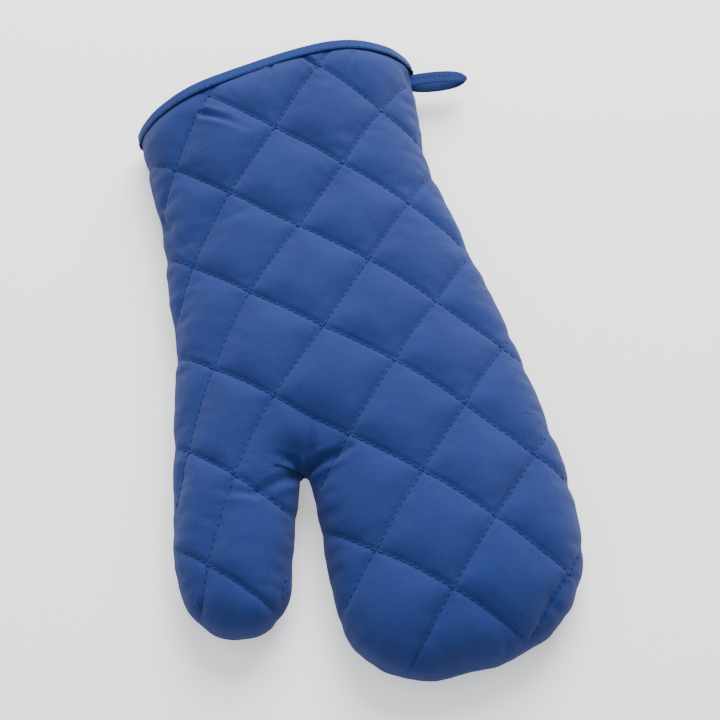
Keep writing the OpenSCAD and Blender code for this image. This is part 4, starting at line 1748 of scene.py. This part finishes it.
class SeamWork(Stitches):
    """Side-seam stitches and the overlocked allowance inside the mitt, sizes in millimetres."""

    PITCH = 2.6
    LENGTH = 2.0
    RADIUS = 0.16
    INSET = 1.35
    ALLOWANCE_FROM = 2.3
    END = 0.5
    GAP = 0.4
    CROTCH_GAP = 4.0
    RIB_PITCH = 2.4
    RIB_STEP = 0.8

    def __init__(self, builder: Builder, shape: PanelShape) -> None:
        """Keeps the maker of pieces and the panels that are sewn together."""
        super().__init__(builder)
        self.shape = shape

    def _inside(self, run: np.ndarray) -> np.ndarray:
        """Seam points at running lengths, drawn in as the covers are.

        Args:
            run: Running lengths.

        Returns:
            Places in the plan.
        """
        out = self.builder.outline
        xy = out.at(run).reshape(-1, 2)
        near = out.near(xy)
        pull = self.shape.edge_pull(near, out.below_cuff(xy)).reshape(*run.shape, 1)
        return out.at(run) + out.inward(run) * pull

    def build(self) -> None:
        """Makes both pieces of each region."""
        out = self.builder.outline
        a, c, b = out.thumb_root_s, out.crotch_s, out.fingers_root_s
        spans = {
            Region.PALM: [(self.END, a - self.GAP), (b + self.GAP, out.length - self.END)],
            Region.THUMB: [(a + self.GAP, c - self.CROTCH_GAP)],
            Region.FINGERS: [(c + self.CROTCH_GAP, b - self.GAP)],
        }
        for region, runs in spans.items():
            self._stitches(region, runs)
            self._overlock(region, runs)

    def _stitches(self, region: Region, runs: list[tuple[float, float]]) -> None:
        """Row of lock stitches that joins the panels.

        Args:
            region: Part of the mitt.
            runs: Start and end of each stretch of the seam.
        """
        out = self.builder.outline
        half = self.PITCH / 2
        s = np.concatenate([np.arange(lo + half, hi - half, self.PITCH) for lo, hi in runs])
        u = np.linspace(-0.5, 0.5, 5)
        run = s[:, None] + u[None] * self.LENGTH
        xy = self._inside(run) + out.inward(run) * self.INSET
        centres = np.concatenate([xy, np.full((*run.shape, 1), SIZES.seam_z)], axis=-1)
        ups = np.broadcast_to(np.array([0.0, 0.0, 1.0]), centres.shape)
        obj = self.piece(f"side_seam_{region.word}_thread", centres, ups, self.RADIUS, "seam_thread")
        self.builder.tie(obj, region)
        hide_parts(f"side_seam_{region.word}")

    def _overlock(self, region: Region, runs: list[tuple[float, float]]) -> None:
        """Strip of the sewn-over allowance, ribbed by its looping thread.

        Args:
            region: Part of the mitt.
            runs: Start and end of each stretch of the seam.
        """
        out = self.builder.outline
        parts, faces, total = [], [], 0
        across = np.array([0.0, 0.15, 0.5, 0.9, 1.0, 1.0, 0.9, 0.5, 0.15, 0.0])
        up = np.array([0.4, 1.0, 1.0, 1.0, 0.5, -0.5, -1.0, -1.0, -1.0, -0.4])
        for lo, hi in runs:
            s = np.linspace(lo, hi, int((hi - lo) / self.RIB_STEP) + 1)
            wave = np.sin(2 * np.pi * s / self.RIB_PITCH)
            rib = 1.0 + 0.22 * wave
            width = CLOTH.allowance - 0.6 + 0.35 * wave
            reach = self.ALLOWANCE_FROM + across[None] * width[:, None]
            xy = self._inside(s)[:, None] + out.inward(s)[:, None] * reach[..., None]
            z = SIZES.seam_z + up[None] * rib[:, None]
            parts.append(np.concatenate([xy, z[..., None]], axis=-1).reshape(-1, 3))
            faces.append(self.tube_faces(1, len(s), len(up)) + total)
            total += len(parts[-1])
        points = np.concatenate(parts)
        obj = self.builder.mesh(
            f"overlock_{region.word}_edge", points, np.concatenate(faces), "overlock_thread", points[:, :2]
        )
        self.builder.tie(obj, region)
        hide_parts(f"overlock_{region.word}")


# ---- Binding ------------------------------------------------------------------------------------


class CuffBinding(Stitches):
    """Folded strip round the mouth with its row of stitching, sizes in millimetres."""

    POINTS = 700
    CLOTH_T = 0.75
    FLAT_W = 15.0
    UV_W = 26
    STITCH_PITCH = 3.0
    STITCH_L = 2.3
    STITCH_H = 1.03
    STITCH_DIVE = 0.35
    STITCH_DROP = 4.1
    STITCH_R = 0.2

    def __init__(self, builder: Builder, shape: PanelShape) -> None:
        """Works out the loop round the mouth.

        Args:
            builder: Maker of pieces.
            shape: Surface of the panels.
        """
        super().__init__(builder)
        self.shape = shape
        out = shape.outline
        t = shares(400, 0.97, 0.97, 0.02)
        rim = out.cuff(t)
        near = out.near(rim)
        front = shape.surface(Side.FRONT, near, flat=True)
        back = shape.surface(Side.BACK, near, flat=True)
        ring = np.concatenate([front, back[::-1][1:-1]])
        ring = np.concatenate([ring, ring[:1]])
        run = np.concatenate([[0.0], np.cumsum(np.linalg.norm(np.diff(ring, axis=0), axis=1))])
        self.length = float(run[-1])
        self.run, self.ring = run, ring
        self.wave = ValueNoise(SEED + 5)

    def at(self, s: np.ndarray) -> np.ndarray:
        """Points of the mouth's loop at running lengths s."""
        s = np.mod(s, self.length)
        return np.stack([np.interp(s, self.run, self.ring[:, k]) for k in range(3)], axis=-1)

    def outward(self, s: np.ndarray) -> np.ndarray:
        """Unit vectors off the loop, level with the floor's width and height.

        Args:
            s: Running lengths round the mouth.

        Returns:
            Unit vectors with no part along the mitt.
        """
        ahead = self.at(s + 1.6) - self.at(s - 1.6)
        flat = np.stack([-ahead[..., 2], np.zeros(s.shape), ahead[..., 0]], axis=-1)
        return unit(flat)

    def build(self) -> None:
        """Makes the strip and its stitches."""
        self._strip()
        self._stitching()

    def _section(self) -> np.ndarray:
        """Section of the strip: [distance off the panel's face, height above the cuff line].

        Outer leg, half round over the edge, inner leg, and back along the strip's inner
        side.

        Returns:
            Points in millimetres, once round the section.
        """
        grip = CLOTH.mouth_t
        t = self.CLOTH_T
        outer_r, inner_r = grip / 2 + t + 0.1, grip / 2 + 0.1
        mid = -grip / 2
        turn = np.linspace(0, np.pi, 13)
        leg = np.array([0.35, -5.0]), np.array([t * 0.75, -5.25]), np.array([t + 0.22, -4.9])
        outside = [*leg, np.array([t + 0.2, -3.8]), np.array([t + 0.1, -2.0])]
        over = [np.array([mid + outer_r * math.cos(a), -0.6 + outer_r * 0.62 * math.sin(a)]) for a in turn]
        inside = [np.array([mid - outer_r, -2.5]), np.array([mid - outer_r, -5.0])]
        back = [np.array([mid - inner_r, -5.0]), np.array([mid - inner_r, -2.5])]
        under = [np.array([mid - inner_r * math.cos(a), -0.6 + inner_r * 0.62 * math.sin(a)]) for a in turn]
        ends = [np.array([0.1, -2.5])]
        return np.array([*outside, *over, *inside, *back, *under, *ends])

    def _strip(self) -> None:
        """Sweeps the section round the mouth, with a slight waviness."""
        s = np.linspace(0, self.length, self.POINTS, endpoint=False)
        base, off = self.at(s), self.outward(s)
        section = self._section()
        lane = np.full_like(s, 12.5)
        sway = 0.28 * self.wave(s / 9, lane) + 0.12 * self.wave(s / 3.1, lane + 8)
        lower = ramp(-section[:, 1] / 5)[None] * self.wave(s / 13, lane + 15)[:, None] * 0.25
        n, y = section[:, 0][None] + sway[:, None] * 0.5, section[:, 1][None] + lower
        points = base[:, None] + off[:, None] * n[..., None]
        points[..., 1] += y
        count, k = self.POINTS, len(section)
        i, j = np.meshgrid(np.arange(count), np.arange(k), indexing="ij")
        a, b = i * k + j, i * k + (j + 1) % k
        c, d = ((i + 1) % count) * k + (j + 1) % k, ((i + 1) % count) * k + j
        quads = np.stack([a, b, c, d], axis=-1).reshape(-1, 4)
        around = arc_share(section) * self.UV_W
        along, across = np.meshgrid(s, around, indexing="ij")
        uv = np.stack([along, across], axis=-1).reshape(-1, 2)
        obj = self.builder.mesh("cuff_binding_strip", points.reshape(-1, 3), quads, "binding", uv)
        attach(obj, "palm")
        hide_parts("cuff_binding")
        self.FLAT_W * MM

    def _stitching(self) -> None:
        """Stitches along the outer leg, close to its lower edge."""
        s = np.arange(0, self.length - self.STITCH_PITCH, self.STITCH_PITCH)
        u = np.linspace(-0.5, 0.5, 5)
        run = s[:, None] + u[None] * self.STITCH_L
        off = self.outward(run)
        arch = self.STITCH_H - self.STITCH_DIVE * (2 * u) ** 4
        lane = np.full_like(run, 12.5)
        sway = 0.14 * self.wave(run / 9, lane) + 0.06 * self.wave(run / 3.1, lane + 8)
        centres = self.at(run) + off * (arch[None] + sway)[..., None]
        centres[..., 1] -= self.STITCH_DROP
        obj = self.piece("binding_stitch_thread", centres, off, self.STITCH_R, "seam_thread")
        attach(obj, "palm")
        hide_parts("binding_stitch")


# ---- Hanging loop ------------------------------------------------------------------------------------


@dataclass
class HangingLoop:
    """Folded tape whose two legs leave the side seam and meet in a pointed turn.

    Attributes:
        builder: Maker of pieces.
        width: Width of the tape.
        thickness: Thickness of the tape.
        droop: Droop towards the fingers, in degrees.
        eye: Height of the eye inside the turn.
        drop: Distance of the root below the cuff edge.
        reach: Length from the seam to the tip.
        rise: How far the legs lie towards the cuff from the root.
        sunk: Length of each leg inside the seam.
    """

    STITCH_FROM: ClassVar[float] = 4.0
    STITCH_PITCH: ClassVar[float] = 2.6
    STITCH_L: ClassVar[float] = 2.0
    STITCH_R: ClassVar[float] = 0.17

    builder: Builder
    width: float = 6.6
    thickness: float = 1.1
    droop: float = 10.0
    eye: float = 5.2
    drop: float = 10.5
    reach: float = 27.5
    rise: float = 1.4
    sunk: float = 2.5

    def __post_init__(self) -> None:
        """Finds the root on the right side seam."""
        out = self.builder.outline
        y = float(out.cuff(np.array([1.0]))[0, 1]) - self.drop
        right = out.path[out.runs > out.fingers_root_s]
        x = float(np.interp(y, right[:, 1], right[:, 0]))
        self.root = np.array([x, y, SIZES.seam_z])

    def _line(self, t: np.ndarray) -> tuple[np.ndarray, np.ndarray]:
        """Centre line and half width of the tape, t from 0 to 1.

        In side view it is a drop: the upper leg climbs, turns round the tip and the lower
        leg comes back. The length is the reach times (1 - |cos| ** 1.7) ** 0.82 of the
        angle, and the height is a sine of twice the angle.

        Args:
            t: Shares along the tape.

        Returns:
            Points of the centre line, and half widths.
        """
        angle = np.pi * t
        u = self.reach * (1 - np.abs(np.cos(angle)) ** 1.7) ** 0.82
        high = (self.eye / 2 + self.thickness / 2) * np.sin(2 * np.pi * t) * 0.92
        high = high + np.where(t < 0.5, 1, -1) * 0.62 * np.abs(np.cos(angle)) ** 3
        bulge = np.abs(np.sin(angle))
        bow = 0.9 * bulge**2
        side = self.rise + bow * (t < 0.5) + (bow - 4.0 * bulge * (1 - bulge)) * (t >= 0.5)
        half = self.width / 2 * (1 - 0.68 * np.exp(-((np.abs(t - 0.5) / 0.085) ** 1.6)))
        return np.stack([u - self.sunk * np.abs(np.cos(angle)) ** 6, side, high], axis=-1), half

    def _place(self, local: np.ndarray) -> np.ndarray:
        """Turns points of the loop's own frame into the mitt's.

        Args:
            local: Points: length, side and height from the root.

        Returns:
            Points in millimetres from the crotch.
        """
        a = -math.radians(self.droop)
        x = local[..., 0] * math.cos(a) - local[..., 1] * math.sin(a)
        y = local[..., 0] * math.sin(a) + local[..., 1] * math.cos(a)
        return self.root + np.stack([x, y, local[..., 2]], axis=-1)

    def build(self) -> None:
        """Makes the tape and its stitches."""
        t = np.linspace(0.0, 1.0, 121)
        line, half = self._line(t)
        ahead = unit(np.gradient(line, axis=0))
        tilt = np.broadcast_to(np.array([0.0, 1.0, 0.0]), ahead.shape)
        side = unit(tilt - (tilt * ahead).sum(1, keepdims=True) * ahead)
        up = np.cross(ahead, side)
        angle = np.linspace(0, 2 * np.pi, 24, endpoint=False)
        wide = np.sign(np.cos(angle)) * np.abs(np.cos(angle)) ** 0.35
        thick = np.sign(np.sin(angle)) * np.abs(np.sin(angle)) ** 0.6
        curl = 0.5 * np.exp(-(((t - 0.5) / 0.09) ** 2))
        cup = curl[:, None] * (wide[None] ** 2 - 0.4)
        local = (
            line[:, None]
            + side[:, None] * (half[:, None] * wide[None])[..., None]
            + up[:, None] * (self.thickness / 2 * thick[None] - cup)[..., None]
        )
        points = self._place(local).reshape(-1, 3)
        faces = Stitches.tube_faces(1, len(t), len(angle))
        run = np.concatenate([[0.0], np.cumsum(np.linalg.norm(np.diff(line, axis=0), axis=1))])
        uv = np.stack([np.repeat(run, len(angle)), np.tile(wide * self.width / 2, len(t))], axis=1)
        obj = self.builder.mesh("hanging_loop_tape", points, faces, "loop_tape", uv)
        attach(obj, "loop")
        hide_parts("hanging_loop")
        self._stitching(t, line, side, up, run)

    def _stitching(
        self, t: np.ndarray, line: np.ndarray, side: np.ndarray, up: np.ndarray, run: np.ndarray
    ) -> None:
        """Edge stitching on the outside of the tape.

        Args:
            t: Shares along the tape.
            line: Centre line.
            side: Unit vectors across the tape.
            up: Unit vectors off the tape.
            run: Running lengths of the centre line.
        """
        s = np.arange(self.STITCH_FROM, run[-1] - self.STITCH_FROM, self.STITCH_PITCH)
        u = np.linspace(-0.5, 0.5, 5)
        places = s[:, None] + u[None] * self.STITCH_L
        here = np.stack([np.interp(places, run, line[:, k]) for k in range(3)], axis=-1)
        off = unit(np.stack([np.interp(places, run, up[:, k]) for k in range(3)], axis=-1))
        wide = unit(np.stack([np.interp(places, run, side[:, k]) for k in range(3)], axis=-1))
        share = np.interp(places, run, t)
        curl = 0.5 * np.exp(-(((share - 0.5) / 0.09) ** 2)) * 0.35
        lift = self.thickness / 2 + 0.08 + curl - 0.25 * (2 * u[None]) ** 4
        local = here + wide * 0.5 + off * lift[..., None]
        stitches = Stitches(self.builder)
        obj = stitches.piece("loop_stitch_thread", self._place(local), off, self.STITCH_R, "seam_thread")
        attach(obj, "loop")
        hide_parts("loop_stitch")


# ---- Studio --------------------------------------------------------------------------------------------


@dataclass(frozen=True)
class SoftLight:
    """A square soft light: where it stands, its side and its power."""

    name: str
    place: tuple[float, float, float]
    side: float
    power: float
    aim: tuple[float, float, float] = (0.0, 0.0, 0.0)

    def build(self) -> None:
        """Adds the light, facing its aim."""
        data = bpy.data.lights.new(self.name, "AREA")
        data.size, data.energy = self.side, self.power
        obj = bpy.data.objects.new(self.name, data)
        obj.location = self.place
        obj.rotation_mode = "QUATERNION"
        obj.rotation_quaternion = (Vector(self.aim) - Vector(self.place)).to_track_quat("-Z", "Y")
        bpy.context.scene.collection.objects.link(obj)


@dataclass(frozen=True)
class Studio:
    """Pale floor, soft lights and the camera.

    Attributes:
        azimuth: Turn of the camera round the mitt, in degrees.
        elevation: Height of the camera, in degrees.
        distance: Metres from the camera to its target.
        lens: Focal length in millimetres.
        target: Place that the camera looks at.
        floor_side: Side of the floor in metres.
        sky: Colour of the light from all round.
        sky_strength: Its strength.
        floor_paint: Colour of the floor.
        floor_glow: Strength of the floor's own light.
        lights: Soft lights.
    """

    azimuth: float = -13.8
    elevation: float = 65.0
    distance: float = 0.6407
    lens: float = 70.0
    target: tuple[float, float, float] = (0.0055, -0.0039, 0.0118)
    floor_side: float = 6.0
    sky: tuple[float, float, float, float] = (0.93, 0.96, 1.0, 1.0)
    sky_strength: float = 0.55
    floor_paint: tuple[float, float, float, float] = (0.95, 0.95, 0.95, 1.0)
    floor_glow: float = 0.5
    lights: tuple[SoftLight, ...] = (
        SoftLight("key_light", (0.5, 1.15, 0.95), 1.2, 58.0),
        SoftLight("fill_light", (-0.5, 0.1, 1.3), 1.2, 5.0),
    )

    def build(self) -> None:
        """Sets the scene round the mitt."""
        self._floor()
        world = bpy.data.worlds.new("studio")
        world.use_nodes = True
        background = world.node_tree.nodes["Background"]
        background.inputs["Color"].default_value = self.sky
        background.inputs["Strength"].default_value = self.sky_strength
        bpy.context.scene.world = world
        for light in self.lights:
            light.build()
        self._camera()

    def _floor(self) -> None:
        """Plain pale floor."""
        half = self.floor_side / 2
        mesh = bpy.data.meshes.new("floor")
        corners = [(-half, -half, 0.0), (half, -half, 0.0), (half, half, 0.0), (-half, half, 0.0)]
        mesh.from_pydata(corners, [], [(0, 1, 2, 3)])
        shader = Shader("pale_floor")
        paint = shader.node("ShaderNodeBsdfPrincipled", {
            "Base Color": self.floor_paint,
            "Roughness": 0.9,
            "Emission Color": (1.0, 1.0, 1.0, 1.0),
            "Emission Strength": self.floor_glow,
        })
        shader.node("ShaderNodeOutputMaterial", {"Surface": paint.outputs["BSDF"]})
        mesh.materials.append(shader.material)
        floor = bpy.data.objects.new("floor", mesh)
        bpy.context.scene.collection.objects.link(floor)

    def _camera(self) -> None:
        """Camera that looks at the target from its azimuth and elevation."""
        a, e = math.radians(self.azimuth), math.radians(self.elevation)
        back = Vector((math.sin(a) * math.cos(e), -math.cos(a) * math.cos(e), math.sin(e)))
        data = bpy.data.cameras.new("camera")
        data.lens, data.sensor_width = self.lens, 36.0
        camera = bpy.data.objects.new("camera", data)
        camera.location = Vector(self.target) + back * self.distance
        camera.rotation_mode = "QUATERNION"
        camera.rotation_quaternion = (-back).to_track_quat("-Z", "Y")
        bpy.context.scene.collection.objects.link(camera)
        bpy.context.scene.camera = camera


# ---- Whole mitt --------------------------------------------------------------------


class OvenMitt:
    """The mitt: two quilted panels, their threads, the binding and the hanging loop."""

    def __init__(self) -> None:
        """Finds the crotch in the row frame and builds the shared surfaces."""
        self.outline = Outline(SIZES)
        self.quilting = Quilting(QUILT, self.outline)
        self.shape = PanelShape(SIZES, self.outline, self.quilting)
        self.coarse, self.fine = Sheet(self.outline, 1), Sheet(self.outline, 2)
        self.builder = Builder(self._origin(), self.outline)

    def _origin(self) -> np.ndarray:
        """Crotch in the row frame: the CAD thumb's left side and fingertips less the outline's own."""
        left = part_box("front_cover_thumb")[0].x
        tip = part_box("front_cover_fingers")[0].y
        low = self.outline.path.min(axis=0) * MM
        return np.array([left - low[0], tip - low[1], 0.0])

    def _settled(self) -> np.ndarray:
        """Movement of the front cover in the cloth simulation."""
        near, below = self.coarse.near, self.coarse.below
        rows = np.min([np.abs(self.quilting.offset(row, near.xy)[0]) for row in Row], axis=0)
        hold = np.maximum.reduce([1 - ramp((rows - 0.8) / 1.6), (near.d < 1.2) * 1.0, (below < 5) * 1.0])
        points = self.shape.surface(Side.FRONT, near)
        move = ClothRun().settle(points, self.coarse.all_quads, hold)
        return self._softened(move) * (1 - smooth(hold))[:, None]

    def _softened(self, move: np.ndarray) -> np.ndarray:
        """Movement mixed twice with the mean of the neighbouring vertices.

        Args:
            move: Movement of each vertex.

        Returns:
            The softened movement.
        """
        quads, count = self.coarse.all_quads, len(move)
        a, b = quads.ravel(), np.roll(quads, -1, axis=1).ravel()
        weight = np.bincount(a, minlength=count) + np.bincount(b, minlength=count)
        for _ in range(2):
            near = [
                np.bincount(a, move[b, axis], count) + np.bincount(b, move[a, axis], count)
                for axis in range(3)
            ]
            move = 0.5 * move + 0.5 * np.stack(near, axis=1) / weight[:, None]
        return move

    def build(self) -> None:
        """Makes every piece."""
        settled = self._settled()
        for side in Side:
            Panel(side, self.shape, self.builder, self.coarse, self.fine).build(settled)
        QuiltThreads(self.builder, self.shape).build()
        SeamWork(self.builder, self.shape).build()
        CuffBinding(self.builder, self.shape).build()
        HangingLoop(self.builder).build()


def main() -> None:
    """Builds the mitt and its studio."""
    OvenMitt().build()
    Studio().build()


if __name__ == "__main__":
    main()
